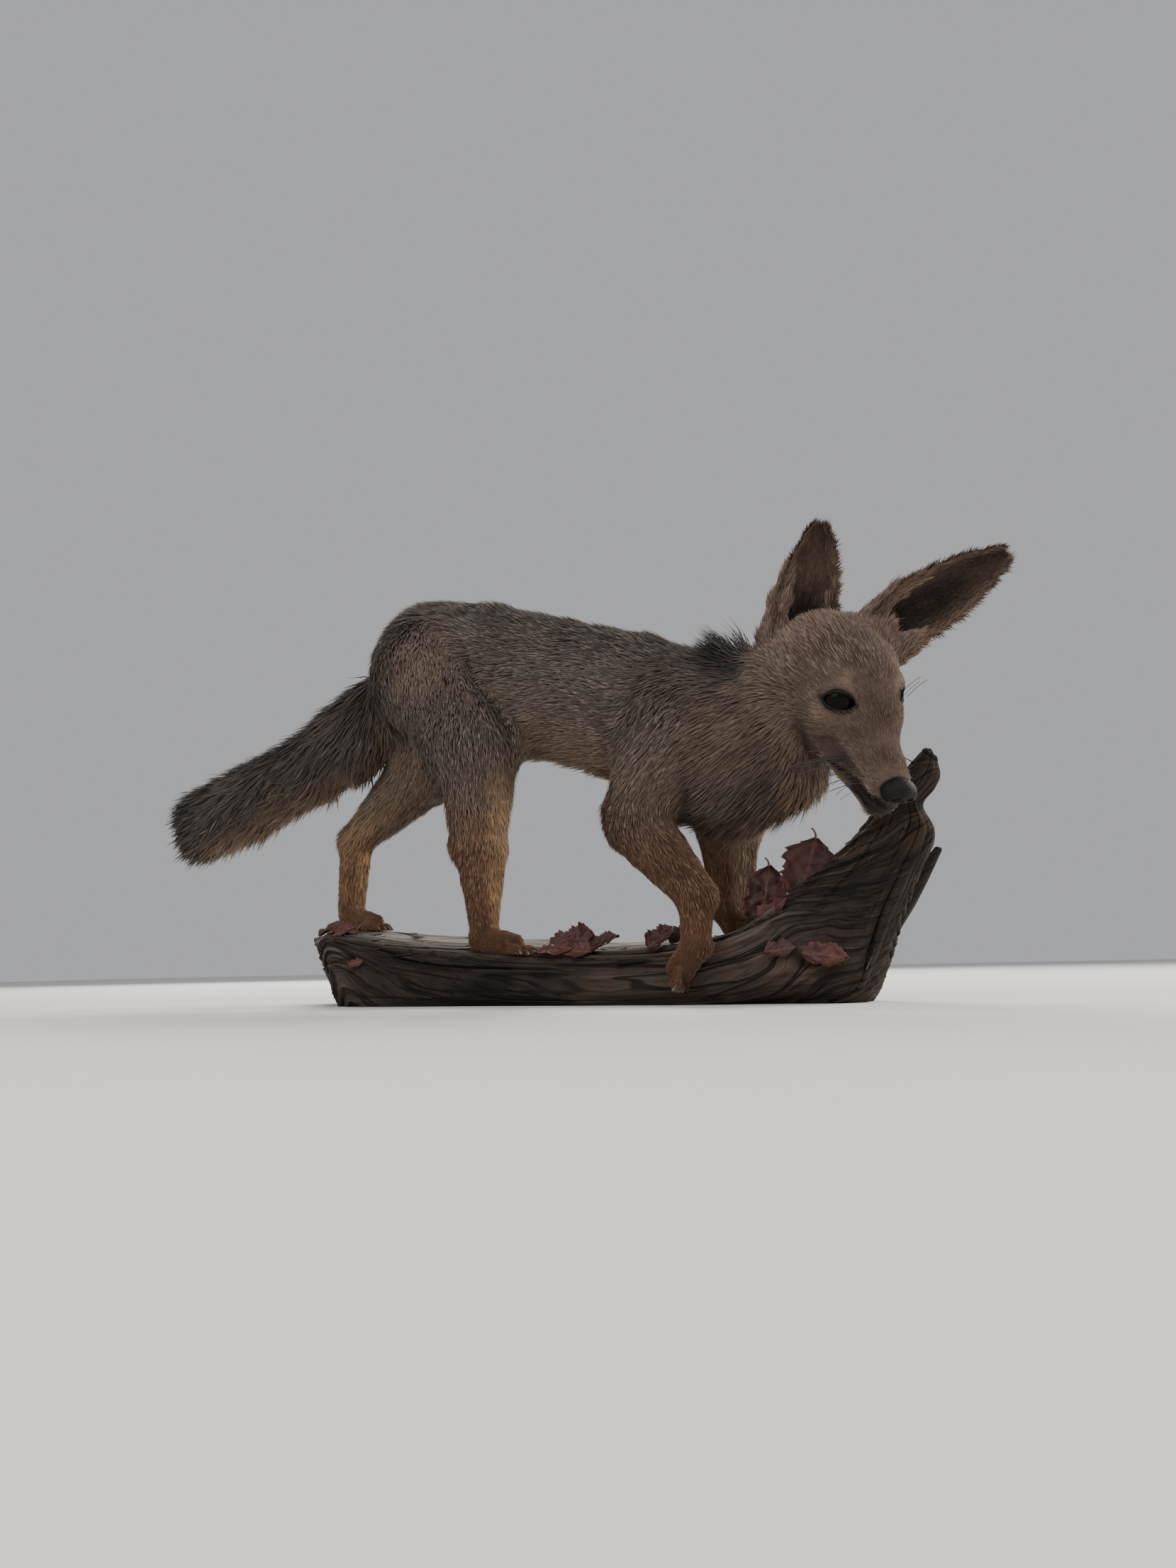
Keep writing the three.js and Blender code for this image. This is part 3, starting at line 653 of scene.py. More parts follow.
@dataclass(frozen=True)
class WoodFinish(Finish):
    """Weathered driftwood: grey-brown, with grain, dark checks, paler weathered ridges, painted light on its upper
    faces and painted shade on its front and underside.
    """

    name: str = "driftwood_grain"
    dark: Triple = (0.008, 0.0065, 0.0055)
    middle: Triple = (0.033, 0.0245, 0.0195)
    light: Triple = (0.136, 0.107, 0.084)
    crack: Triple = (0.0035, 0.003, 0.0025)

    def surface(self, g: Graph) -> dict[str | int, Any]:
        """Made from the attributes along and around, and a third that holds the wear with its painted light.

        along and around run with and across the grain, in metres, and the third is 0 in a check and 1
        on a ridge, raised by painted light on upward faces and lowered by painted shade on the front and underside.
        """
        along, around = g.attribute("along"), g.attribute("around")

        def streaks(length: float, breadth: float, which: float, detail: float, rough: float = 0.55) -> Sock:
            """Noise drawn out along the grain, with its streaks' length and breadth in metres."""
            inputs = {0: along / length, 1: around / breadth, 2: which}
            return g.noise(g.out(g.node("ShaderNodeCombineXYZ", inputs)), 1.0, detail, rough, 0.4)

        grain, fine = streaks(0.080, 0.0030, 0.3, 6, 0.62), streaks(0.036, 0.0009, 1.7, 3)
        broad = g.noise(g.coordinates(), 17, 4)
        worn = g.attribute("worn")
        # the wear attribute also carries painted light: upward faces lighter, the front and underside darker
        level = grain * 0.5 + worn * 0.6 + (broad - 0.5) * 0.3 - 0.06
        lower = g.blend(g.ramp(level, 0.12, 0.5), self.dark, self.middle)
        colour = g.blend(g.ramp(level, 0.48, 0.92), lower, self.light)
        stained = g.blend(g.ramp(broad, 0.45, 0.75) * 0.4, colour, (0.070, 0.038, 0.023))
        long_split = g.math("ABSOLUTE", streaks(0.170, 0.0130, 5.1, 2) - 0.5)
        short_split = g.math("ABSOLUTE", streaks(0.060, 0.0046, 8.3, 2) - 0.5)
        splits = g.ramp(long_split, 0.040, 0.012) * g.ramp(broad, 0.34, 0.54)
        splits = splits + g.ramp(short_split, 0.036, 0.010) * g.ramp(broad, 0.60, 0.42) * 0.75
        checks = g.math("MINIMUM", splits + g.ramp(fine, 0.40, 0.30) * g.ramp(grain, 0.55, 0.40), 1.0)
        final = g.blend(checks * 0.88, stained, self.crack)
        height = grain * 0.9 + fine * 0.5 - checks * 1.3
        return {
            "Base Color": final, "Roughness": 0.92 - worn * 0.15, "Specular IOR Level": 0.25,
            "Normal": g.bump(height, 0.8, 0.0014),
        }


@dataclass(frozen=True)
class LeafFinish(Finish):
    """A dried leaf: dark crimson with spots, paler along the veins and at the edge."""

    name: str = "leaf_dry"
    dark: Triple = (0.026, 0.009, 0.008)
    middle: Triple = (0.076, 0.020, 0.015)
    vein: Triple = (0.150, 0.055, 0.034)

    def surface(self, g: Graph) -> dict[str | int, Any]:
        """Made from the attributes vein and rim."""
        blotch = g.noise(g.coordinates(), 75, 4)
        speck = g.noise(g.coordinates(), 420, 2)
        vein, rim = g.attribute("vein"), g.attribute("rim")
        blade = g.blend(g.ramp(blotch, 0.3, 0.7), self.dark, self.middle)
        spotted = g.blend(g.ramp(speck, 0.66, 0.74) * 0.7, blade, self.dark)
        veined = g.blend(vein * 0.6, spotted, self.vein)
        edged = g.blend(rim * 0.35, veined, (0.140, 0.052, 0.030))
        height = speck * 0.5 + vein + blotch
        return {
            "Base Color": edged, "Roughness": 0.5 + blotch * 0.25,
            "Normal": g.bump(height, 0.5, 0.0006),
        }


class Dress(Enum):
    """The finishes of the pieces."""

    HAIR = CoatFinish()
    HIDE = SkinFinish()
    EAR = SkinFinish("ear_hide", 0.0004)
    LEATHER = LeatherFinish()
    WOOD = WoodFinish()
    LEAF = LeafFinish()
    CLAW = HornFinish("claw_horn", (0.020, 0.014, 0.011), (0.140, 0.100, 0.070))
    WHISKER = HornFinish("whisker_horn", (0.012, 0.010, 0.009), (0.050, 0.042, 0.036))

    @cache
    def material(self) -> bpy.types.Material:
        """The material, made when it is first asked for."""
        return self.value.make()


# ------------------------------------------------------------------------------- the coat's places
@dataclass(frozen=True)
class Coat:
    """How the coat grows at one place, in millimetres.

    depth is from the skin to the outside, length and width are a tuft's, density is tufts for each
    square millimetre, lift is a tip's height as a share of the length, and tangle is how far
    neighbours differ in direction.
    """

    depth: float
    length: float
    width: float
    density: float
    lift: float
    tangle: float = 0.25


class Place(Enum):
    """The places of the coat."""

    FACE = Coat(1.9, 6.0, 0.80, 1.30, 0.24, 0.16)
    CROWN = Coat(3.0, 9.5, 1.00, 0.85, 0.28, 0.22)
    NECK = Coat(6.0, 14.5, 1.05, 0.66, 0.32, 0.16)
    TRUNK = Coat(4.8, 12.0, 1.05, 0.58, 0.32, 0.24)
    THIGH = Coat(4.4, 11.0, 1.00, 0.63, 0.32, 0.24)
    LEG = Coat(2.5, 7.5, 0.90, 0.95, 0.24, 0.18)
    FOOT = Coat(1.7, 5.0, 0.75, 1.30, 0.20, 0.16)
    TAIL = Coat(9.5, 27.0, 1.80, 0.40, 0.32, 0.34)


PLACES = list(Place)


class Part(Enum):
    """The parts of the body, for the coat's pieces."""

    HEAD = "head"
    NECK = "neck"
    TRUNK = "trunk"
    TAIL = "tail"
    HIND_RIGHT = "hindleg_right"
    HIND_LEFT = "hindleg_left"
    FORE_RIGHT = "foreleg_right"
    FORE_LEFT = "foreleg_left"


PARTS = list(Part)
FLESH_NODES = (
    "head", "neck", "trunk", "tail_base", "tail_middle", "tail_tip",
    "hindleg_right_thigh", "hindleg_right_shank", "hindleg_right_foot",
    "hindleg_left_thigh", "hindleg_left_shank", "hindleg_left_foot",
    "foreleg_right_upper", "foreleg_right_lower", "foreleg_right_paw",
    "foreleg_left_upper", "foreleg_left_lower", "foreleg_left_paw",
)


# ------------------------------------------------------------------------------- the body's form
@dataclass(frozen=True)
class HeadPose:
    """Where the head is, and the way it is turned. Its own axes are forward, left and up."""

    at: Triple = (222, -72, 193)
    heading: float = -40
    pitch: float = 55
    roll: float = 4

    def turn(self) -> Array:
        """The head's axes as columns, in the body's frame."""
        made = Matrix.Rotation(math.radians(self.heading), 3, "Z")
        made = made @ Matrix.Rotation(math.radians(self.pitch), 3, "Y")
        return np.array(made @ Matrix.Rotation(math.radians(self.roll), 3, "X"))

    def outward(self, points: Sequence[Any]) -> Array:
        """Points of the head's axes, in the body's frame."""
        return np.asarray(points, float) @ self.turn().T + np.array(self.at)

    def inward(self, points: Array) -> Array:
        """Points of the body's frame, in the head's axes."""
        return (points - np.array(self.at)) @ self.turn()


HEAD = HeadPose()


@dataclass(frozen=True)
class Ear:
    """One ear, a curled sheet from its base to its tip.

    opening is the way its hollow side faces. hems are the furry folds at its root: each has the
    edge it follows, -1 or 1, how far up it goes, and its radius at the root and at its end.
    hollow is how far up the painted shade of its hollow reaches, and root narrows the first edge at the base.
    """

    base: Triple
    tip: Triple
    opening: Triple
    hems: Sequence[tuple[float, float, float, float]]
    half_width: float = 21.0
    curl: float = 15.0
    bend: float = 1.15
    sink: float = 6.0
    hollow: float = 0.95
    root: float = 1.0

    def axes(self) -> tuple[Array, Array, Array, float]:
        """The ear's upright, the way it opens, its breadth and its length."""
        base, tip = np.array(self.base, float), np.array(self.tip, float)
        length = float(np.linalg.norm(tip - base))
        up = (tip - base) / length
        out = np.array(self.opening, float)
        out = unit(out - up * (out @ up))
        return up, out, np.cross(up, out), length

    def sheet(self, u: Array, v: Array, ragged: Array | float, lift: Array | float) -> Array:
        """Points of the hollow side.

        Args:
            u: from one edge, -1, to the other, 1.
            v: from the base, 0, to the tip, 1.
            ragged: scales the width.
            lift: added to the depth, along the way it opens.

        Returns:
            (N, 3) in millimetres.
        """
        up, out, across, length = self.axes()
        width = self.half_width * (0.1 + 0.9 * np.cos((v * 0.97) ** 1.5 * math.pi / 2) ** 0.8) * ragged
        width = width * np.where(u < 0, self.root + (1 - self.root) * rise(0, 0.32, v), 1)
        turn = u * self.bend
        p = np.array(self.base) + up * (v * length - self.sink)[:, None]
        p = p + across * (width * np.sin(turn) / math.sin(self.bend))[:, None]
        depth = self.curl * (1 - 0.55 * v) * (1 - np.cos(turn)) - 5 * (1 - v) + lift
        return p + out * depth[:, None]


EARS = {
    "ear_right": Ear(
        (174, -50, 249), (195, -63, 326.5), (0.55, -0.8, -0.1), ((-1, 0.60, 12, 6.0), (1, 0.40, 10, 6.0)),
        hollow=0.68,
    ),
    "ear_left": Ear(
        (230, -29, 253), (313, -12, 301), (0.2, -0.85, -0.5), ((-1, 0.46, 8.5, 5.5), (1, 0.20, 12, 8.0)),
        root=0.70,
    ),
}


@dataclass(frozen=True)
class EyeForm:
    """An eye on the head's own axes, with the almond that its lids leave open.

    lean shifts them: the left one ahead and the right one back, both to the left, and the left one
    up and the right one down.
    """

    forward: float = -5.1
    side: float = 15.85
    up: float = 0.1
    lean: Triple = (-1.5, -3.75, 1.5)
    radius: float = 12.4
    gaze: Triple = (0.72, 0.56, 0.41)
    toward_nose: Triple = (0.52, -0.83, 0.22)
    half_length: float = 10.6
    half_height: float = 6.0
    lid: float = 1.1

    def centre(self, sign: int) -> Array:
        """The ball's centre on the head's axes. sign is 1 on the left and -1 on the right."""
        ahead, aside, above = self.lean
        return np.array([self.forward + ahead * sign, sign * self.side + aside, self.up + above * sign])

    def axes(self, sign: int) -> tuple[Array, Array, Array]:
        """The way the eye looks, the way to its front corner, and its upright."""
        flip = np.array([1, sign, 1])
        gaze = unit(np.array(self.gaze) * flip)
        front = np.array(self.toward_nose) * flip
        front = unit(front - gaze * (front @ gaze))
        up = np.cross(gaze, front) * -sign
        return gaze, front, up

    def almond(self, across: Array, up: Array) -> Array:
        """Signed distance of a place from the edge of the opening, seen along the gaze."""
        bend = np.square(np.clip(across / self.half_length, -1, 1))
        middle = 0.5 - 0.9 * bend
        half = self.half_height * np.power(np.maximum(1 - bend, 1e-4), 0.62)
        return np.maximum(np.abs(up - middle) - half, np.abs(across) - self.half_length)

    def opening(self, sign: int, places: Array, behind: float) -> Array:
        """Signed distance of places on the head's axes from one eye's opening.

        Args:
            sign: 1 on the left and -1 on the right.
            places: (N, 3).
            behind: the value behind the eye.

        Returns:
            (N,), seen along the gaze.
        """
        gaze, front, up = self.axes(sign)
        offset = places - self.centre(sign)
        return np.where(offset @ gaze > 0, self.almond(offset @ front, offset @ up), behind)

    def edge(self, sign: int, count: int, lift: float) -> Array:
        """Points round the opening's edge on the ball, raised by lift, on the head's axes."""
        gaze, front, up = self.axes(sign)
        angle = np.arange(count) / count * 2 * math.pi
        across = self.half_length * np.cos(angle)
        bend = np.square(np.cos(angle))
        height = 0.5 - 0.9 * bend + self.half_height * np.sign(np.sin(angle)) * (1 - bend) ** 0.62
        flat = across[:, None] * front + height[:, None] * up
        reach = self.radius + lift
        depth = np.sqrt(np.maximum(reach**2 - np.square(flat).sum(1), 1.0))
        return self.centre(sign) + flat + depth[:, None] * gaze


EYE = EyeForm()
# the lines between the lips, below the lower lip and of the furrows behind the eyes, on the head's
# axes and on its left side
MOUTH: Sequence[Triple] = ((65, 0, -30), (58, 8.5, -29), (45, 12, -30.5), (29, 15, -35), (14, 18, -40.5))
LOWER_LIP: Sequence[Triple] = ((65, 0, -35), (57, 9, -34), (43, 12, -35.5))
CHEEK_FURROWS: Sequence[Sequence[Triple]] = (
    ((12, 25, -7), (0, 30, -10), (-14, 35, -10)),
    ((14, 23, -12), (2, 29, -16), (-14, 36, -17)),
    ((16, 21, -17), (4, 28, -22), (-12, 36, -24)),
)
# the folds in front of the near thigh and behind the near ear
FLANK_FOLD = np.array(
    [(-83, -50, 262), (-76, -57, 246), (-62, -60, 230), (-52, -59, 217), (-48, -56, 204)], float
)
NAPE_FOLD = np.array([(126, -46, 250), (132, -62, 238), (137, -73, 221)], float)


@dataclass(frozen=True)
class Bone:
    """A tapered bone with an oval section, and the coat that grows on it.

    widths and depths are the half-sizes along `side` and across it at each end, caps is how far it
    bulges past each end, and lie is the way its hair lies.
    """

    start: Array
    end: Array
    widths: tuple[float, float]
    depths: tuple[float, float]
    caps: tuple[float, float]
    side: Array
    blend: float
    place: Place
    part: Part
    lie: Array

    def bounds(self, margin: float) -> tuple[Array, Array]:
        """The box round the bone, grown by a margin."""
        reach = max(*self.widths, *self.depths, *self.caps) + margin
        return np.minimum(self.start, self.end) - reach, np.maximum(self.start, self.end) + reach

    def distance(self, points: Array) -> Array:
        """Signed distance from the bone's surface, good near it."""
        axis = self.end - self.start
        length = max(float(np.linalg.norm(axis)), 1e-6)
        axis = axis / length
        offset = points - self.start
        along = offset @ axis
        held = np.clip(along, 0, length)
        t = held / length
        over = along - held
        offset = offset - along[:, None] * axis
        s = offset @ self.side
        m = np.sqrt(np.maximum(np.square(offset).sum(1) - s * s, 0))
        w = self.widths[0] + (self.widths[1] - self.widths[0]) * t
        d = self.depths[0] + (self.depths[1] - self.depths[0]) * t
        c = np.where(over < 0, self.caps[0], self.caps[1])
        k0 = np.sqrt((s / w) ** 2 + (m / d) ** 2 + (over / c) ** 2)
        k1 = np.sqrt((s / w**2) ** 2 + (m / d**2) ** 2 + (over / c**2) ** 2)
        return np.where(k1 < 1e-9, -np.minimum(w, d), k0 * (k0 - 1) / np.maximum(k1, 1e-9))


@dataclass
class Roots:
    """Places on the body with what the coat is like there.

    Attributes:
        points: (N, 3) in millimetres.
        normals: (N, 3).
        lie: the way the hair lies, (N, 3), on the surface.
        shares: how much each Place has of a point, (N, places).
        parts: index of the nearest Part.
        coat: the blended fields of Coat, by name.
    """

    points: Array
    normals: Array
    lie: Array
    shares: Array
    parts: Array
    coat: dict[str, Array]

    def share(self, *places: Place) -> Array:
        """How much of each point belongs to the given places."""
        return sum(self.shares[:, PLACES.index(p)] for p in places)

    def on(self, *parts: Part) -> Array:
        """Whether each point is on one of the given parts."""
        return np.isin(self.parts, [PARTS.index(p) for p in parts])


@dataclass
class Form:
    """The body as one smooth distance field, blended from bones.

    bone_reach is how far from a bone its distance still counts, and head_reach how far from the
    head's middle its lids, lips and furrows do.
    """

    bones: list[Bone] = field(default_factory=list)
    toes: list[Bone] = field(default_factory=list)
    bone_reach: float = 34
    head_reach: float = 95
    toe_gap: float = 4.7
    toe_length: float = 13.5

    # each limb's bones: start, end, both radii, how softly it joins, its coat and how much that hangs
    LIMBS = {
        Part.HIND_RIGHT: (
            ((-143, -20, 268), (-84, -42, 207), 41, 35, 34, Place.THIGH, 0.9),
            ((-136, -24, 258), (-102, -42, 205), 36, 31, 30, Place.THIGH, 0.9),
            ((-82, -44, 200), (-84, -41, 122), 35, 23, 12, Place.THIGH, 0.1),
            ((-86, -41, 122), (-98, -41, 124), 15, 10, 10, Place.LEG, 0.6),
            ((-82, -41, 118), (-79, -41, 60), 21, 12.5, 8, Place.LEG, 0.1),
            ((-80, -41, 50), (-54, -44, 45), 12, 9.5, 6, Place.FOOT, 0.1),
        ),
        Part.HIND_LEFT: (
            ((-145, 24, 267), (-164, 34, 208), 40, 36, 30, Place.THIGH, 0.1),
            ((-164, 34, 208), (-247, 31, 141), 35, 16, 12, Place.THIGH, 0.3),
            ((-247, 31, 140), (-251, 31, 84), 15.5, 12.5, 8, Place.LEG, 0.1),
            ((-250, 31, 74), (-228, 31, 68.5), 12.5, 9, 6, Place.FOOT, 0.1),
        ),
        Part.FORE_RIGHT: (
            ((84, -50, 200), (54, -54, 138), 36, 27, 18, Place.THIGH, 0.1),
            ((54, -56, 126), (96, -60, 75), 25, 15.5, 10, Place.LEG, 0.3),
            ((96, -60, 72), (96.5, -61, 44), 15, 11, 6, Place.LEG, 0.1),
            ((95.5, -61, 40), (85, -61, 26), 11.5, 11, 6, Place.FOOT, 0.1),
        ),
        Part.FORE_LEFT: (
            ((92, 8, 185), (100, 13, 138), 34, 28, 18, Place.THIGH, 0.1),
            ((99.5, 13, 138), (97.5, 17, 72), 27, 16, 10, Place.LEG, 0.1),
            ((96.5, 17, 68), (100.5, 16, 60), 14.5, 13, 6, Place.LEG, 0.1),
            ((101.5, 16, 60), (112, 14, 58), 12.5, 10.5, 6, Place.FOOT, 0.1),
        ),
    }

    def __post_init__(self) -> None:
        """Lays out every bone, in the order in which they blend."""
        self.build_trunk()
        self.build_tail()
        self.build_legs()
        self.build_head()
        self.build_toes()

    def bone(
        self, a: Sequence[float], b: Sequence[float], ends: Sequence[float], place: Place, part: Part,
        lie: int, blend: float = 8, side: Sequence[float] = (0, 1, 0),
        caps: tuple[float, float] | None = None, droop: float = 0.15, in_head: bool = False,
    ) -> None:
        """Adds a bone.

        Args:
            a: its start.
            b: its end.
            ends: half-width and half-depth at the start and at the end.
            place: the coat on it.
            part: the part of the body.
            lie: 1 where the hair points from start to end, -1 where it points back.
            blend: how softly it joins what is there.
            side: the way its width runs.
            caps: its bulge past each end.
            droop: how much the hair also hangs.
            in_head: a and b are on the head's axes.
        """
        start, end, sideways = np.array(a, float), np.array(b, float), unit(np.array(side, float))
        if in_head:
            start, end = HEAD.outward(start), HEAD.outward(end)
            sideways = HEAD.turn()[:, 1]
        wa, da, wb, db = ends
        direction = unit(unit(end - start) * lie - np.array([0, 0, droop]))
        made = Bone(
            start, end, (wa, wb), (da, db), caps or (min(wa, da), min(wb, db)),
            sideways, blend, place, part, direction,
        )
        self.bones.append(made)

    def limb(
        self, a: Sequence[float], b: Sequence[float], ra: float, rb: float, blend: float,
        place: Place, part: Part, droop: float = 0.1,
    ) -> None:
        """Adds a round bone whose hair points from start to end."""
        self.bone(a, b, (ra, ra, rb, rb), place, part, 1, blend, droop=droop)

    def build_trunk(self) -> None:
        """The trunk from rump to chest, and the neck."""
        spine = (
            ((-151, 3, 285), 43, 51), ((-95, -2, 269), 41, 56), ((-30, -8, 245), 43, 56),
            ((35, -16, 222), 46, 57), ((88, -26, 192), 46, 61),
        )
        for (a, wa, da), (b, wb, db) in zip(spine, spine[1:]):
            self.bone(a, b, (wa, da, wb, db), Place.TRUNK, Part.TRUNK, -1, 5, droop=0.28)
        neck = {"place": Place.NECK, "part": Part.NECK, "lie": -1, "side": (0.3, 0.95, 0), "droop": 0.45}
        self.bone((88, -27, 191), (120, -34, 184), (46, 61, 45, 65), caps=(40, 34), **neck)
        self.bone((120, -34, 183), (165, -50, 190), (45, 65, 41, 56), caps=(34, 24), **neck)

    def build_tail(self) -> None:
        """The brush, from the rump to its blunt tip."""
        stations = (
            ((-196, 6, 252), 35), ((-232, 9, 231), 35), ((-275, 13, 211), 31.5),
            ((-345, 18, 187), 32.5), ((-404, 21, 168), 32),
        )
        for i, ((a, ra), (b, rb)) in enumerate(zip(stations, stations[1:])):
            self.limb(a, b, ra, rb, 5 if i else 16, Place.TAIL, Part.TAIL, droop=0.35)

    def build_legs(self) -> None:
        """The four legs, each from the body down to its foot."""
        for part, bones in self.LIMBS.items():
            for a, b, ra, rb, blend, place, droop in bones:
                self.limb(a, b, ra, rb, blend, place, part, droop)

    def build_head(self) -> None:
        """Skull, bridge, muzzle, jaw, cheeks, ruff, brows and the roots of the ears."""
        here: dict[str, Any] = {"part": Part.HEAD, "lie": -1, "in_head": True, "droop": 0.12}
        crown = {**here, "place": Place.CROWN}
        face = {**here, "place": Place.FACE}
        self.bone((-56, 0, -6), (-20, 0, -2), (37, 28.5, 29, 26), blend=14, **crown)
        self.bone((-36, 0, 3), (8, 0, -2), (27, 22, 20, 18), blend=14, **face)
        self.bone((-14, 0, 1), (14, 0, -7), (20, 20, 15.5, 15), blend=12, **face)
        self.bone((10, 0, -13), (55, 0, -19), (18.5, 19, 14.2, 13), blend=9, caps=(16, 8), **face)
        self.bone((-30, 0, -38), (56.5, 0, -36), (25, 16, 12.5, 8.8), blend=9, **face)
        for s in (1, -1):
            self.bone((-34, s * 25, -14), (-8, s * 20, -14), (16, 25, 12, 17), blend=16, **face)
            self.bone((-54, s * 27, -22), (-46, s * 28, -24), (18, 28, 18, 26), blend=18, **crown)
            self.bone((-8, s * 17, 11), (7, s * 14, 7), (8, 7, 7, 5), blend=6, **face)
        for ear in EARS.values():
            base, up, out = np.array(ear.base, float), *ear.axes()[:2]
            self.limb(base - up * 16 - out * 3, base - up * 4 - out * 5, 17, 12, 14, Place.CROWN, Part.HEAD, 0)
            for edge, reach, root, end in ear.hems:
                u, v = np.full(3, edge * 0.80), np.array([0.0, 0.5, 1.0]) * reach
                line = ear.sheet(u, v, 1.0, -2.5)
                middle = (root + end) / 2
                self.limb(line[0], line[1], root, middle, 9, Place.CROWN, Part.HEAD, 0)
                self.limb(line[1], line[2], middle, end, 5, Place.CROWN, Part.HEAD, 0)

    def build_toes(self) -> None:
        """Four toes on each foot, with the way that its claws point."""
        feet = (
            ((-54, -45, 43), (1, -0.16, -0.2), Part.HIND_RIGHT), ((-232, 31, 66), (1, 0, -0.1), Part.HIND_LEFT),
            ((85.5, -62, 24), (-0.08, -0.1, -1), Part.FORE_RIGHT), ((107, 13, 55), (1, -0.1, -0.35), Part.FORE_LEFT),
        )
        for at, ahead, part in feet:
            forward = unit(np.array(ahead, float))
            sideways = unit(np.cross((0.05, 0, 1) if abs(forward[2]) < 0.8 else (-1, 0, 0.2), forward))
            for i in (-1.5, -0.5, 0.5, 1.5):
                start = np.array(at) + sideways * i * self.toe_gap
                end = start + forward * (self.toe_length - 2.0 * abs(i)) + sideways * i * 1.3
                end[2] = max(end[2], start[2] - 8)
                toe = Bone(
                    start, end, (4.7, 4.3), (5.0, 4.4), (4.4, 4.4), sideways, 1.6, Place.FOOT, part, forward
                )
                self.toes.append(toe)

    def distance(self, points: Array, inset: bool = False) -> Array:
        """Signed distance from the outside of the coat, or from the skin's plain form.

        Args:
            points: (N, 3) in millimetres.
            inset: measure from the skin, which lies inside by the coat's depth and has toes.

        Returns:
            (N,) in millimetres.
        """
        total = np.full(len(points), 1e3)
        for b in self.bones + (self.toes if inset else []):
            low, high = b.bounds(self.bone_reach)
            near = np.flatnonzero(np.all((points > low) & (points < high), axis=1))
            if near.size:
                own = b.distance(points[near]) + (b.place.value.depth if inset else 0)
                total[near] = smooth_min(total[near], own, b.blend)
        return total

    def skin(self, points: Array) -> Array:
        """Signed distance from the skin, with lids, lips and folds in the head."""
        total = self.distance(points, inset=True)
        near = np.flatnonzero(lengths(points - np.array(HEAD.at)) < self.head_reach)
        if near.size:
            total[near] = self.dress_head(HEAD.inward(points[near]), total[near])
        total = total + 5.5 * bell(path_distance(points, FLANK_FOLD), 4.0)
        total = total + 4.0 * bell(path_distance(points, NAPE_FOLD), 7.0)
        return total - 2.6 * bell(path_distance(points, FLANK_FOLD - np.array([9, 2, 4])), 5.0)

    def dress_head(self, p: Array, total: Array) -> Array:
        """Adds lids, mouth and furrows to the skin's distance.

        Args:
            p: points on the head's axes.
            total: their distance from the plain skin.

        Returns:
            Their distance from the dressed skin.
        """
        for sign in (1, -1):
            ball = lengths(p - EYE.centre(sign))
            total = smooth_min(total, ball - EYE.radius - EYE.lid, 8)
            total = smooth_max(total, -np.maximum(EYE.opening(sign, p, 20), EYE.radius - 0.8 - ball), 0.8)
        lips = path_distance(mirrored(p), MOUTH)
        for furrow in CHEEK_FURROWS:
            total = total + 0.4 * bell(path_distance(mirrored(p), furrow), 1.8)
        total = total + 2.4 * bell(lips, 1.5) - 0.9 * bell(lips - 4.2, 1.8)
        stop = lengths((p - np.array([4, 0, 12])) / np.array([16, 7, 8]))
        return total + 1.2 * bell(stop, 1)

    def roots(self, points: Array, normals: Array) -> Roots:
        """What the coat is like at places on the skin."""
        gaps = np.stack([b.distance(points) + b.place.value.depth for b in self.bones], 1)
        weights = np.exp(-(gaps - gaps.min(1, keepdims=True)) / 5.0)
        weights /= weights.sum(1, keepdims=True)
        lie = weights @ np.array([b.lie for b in self.bones])
        lie = unit(lie - normals * (lie * normals).sum(1, keepdims=True))
        member = np.array([[b.place is p for p in PLACES] for b in self.bones], float)
        shares = weights @ member
        names = ("depth", "length", "width", "density", "lift", "tangle")
        coat = {n: shares @ np.array([getattr(p.value, n) for p in PLACES]) for n in names}
        nearest = np.array([PARTS.index(b.part) for b in self.bones])[weights.argmax(1)]
        return Roots(points, normals, lie, shares, nearest, coat)


class Tone:
    """The coat's own colours, as reflectance; the darkest are also painted as shade, and cream as a highlight."""

    GREY = (0.066, 0.051, 0.042)
    DARK = (0.032, 0.026, 0.022)
    BLACK_AND_SHADE = (0.012, 0.010, 0.009)
    BROWN = (0.118, 0.080, 0.053)
    TAWNY = (0.132, 0.060, 0.030)
    RUST = (0.090, 0.036, 0.017)
    BUFF = (0.330, 0.200, 0.102)
    CREAM = (0.480, 0.350, 0.235)
    FACE = (0.140, 0.093, 0.071)
    BRIDGE = (0.105, 0.068, 0.048)
    HOAR = (0.235, 0.192, 0.156)
    STRAW = (0.330, 0.210, 0.122)
    FAWN = (0.205, 0.142, 0.094)
    EAR_RIM = (0.185, 0.118, 0.084)


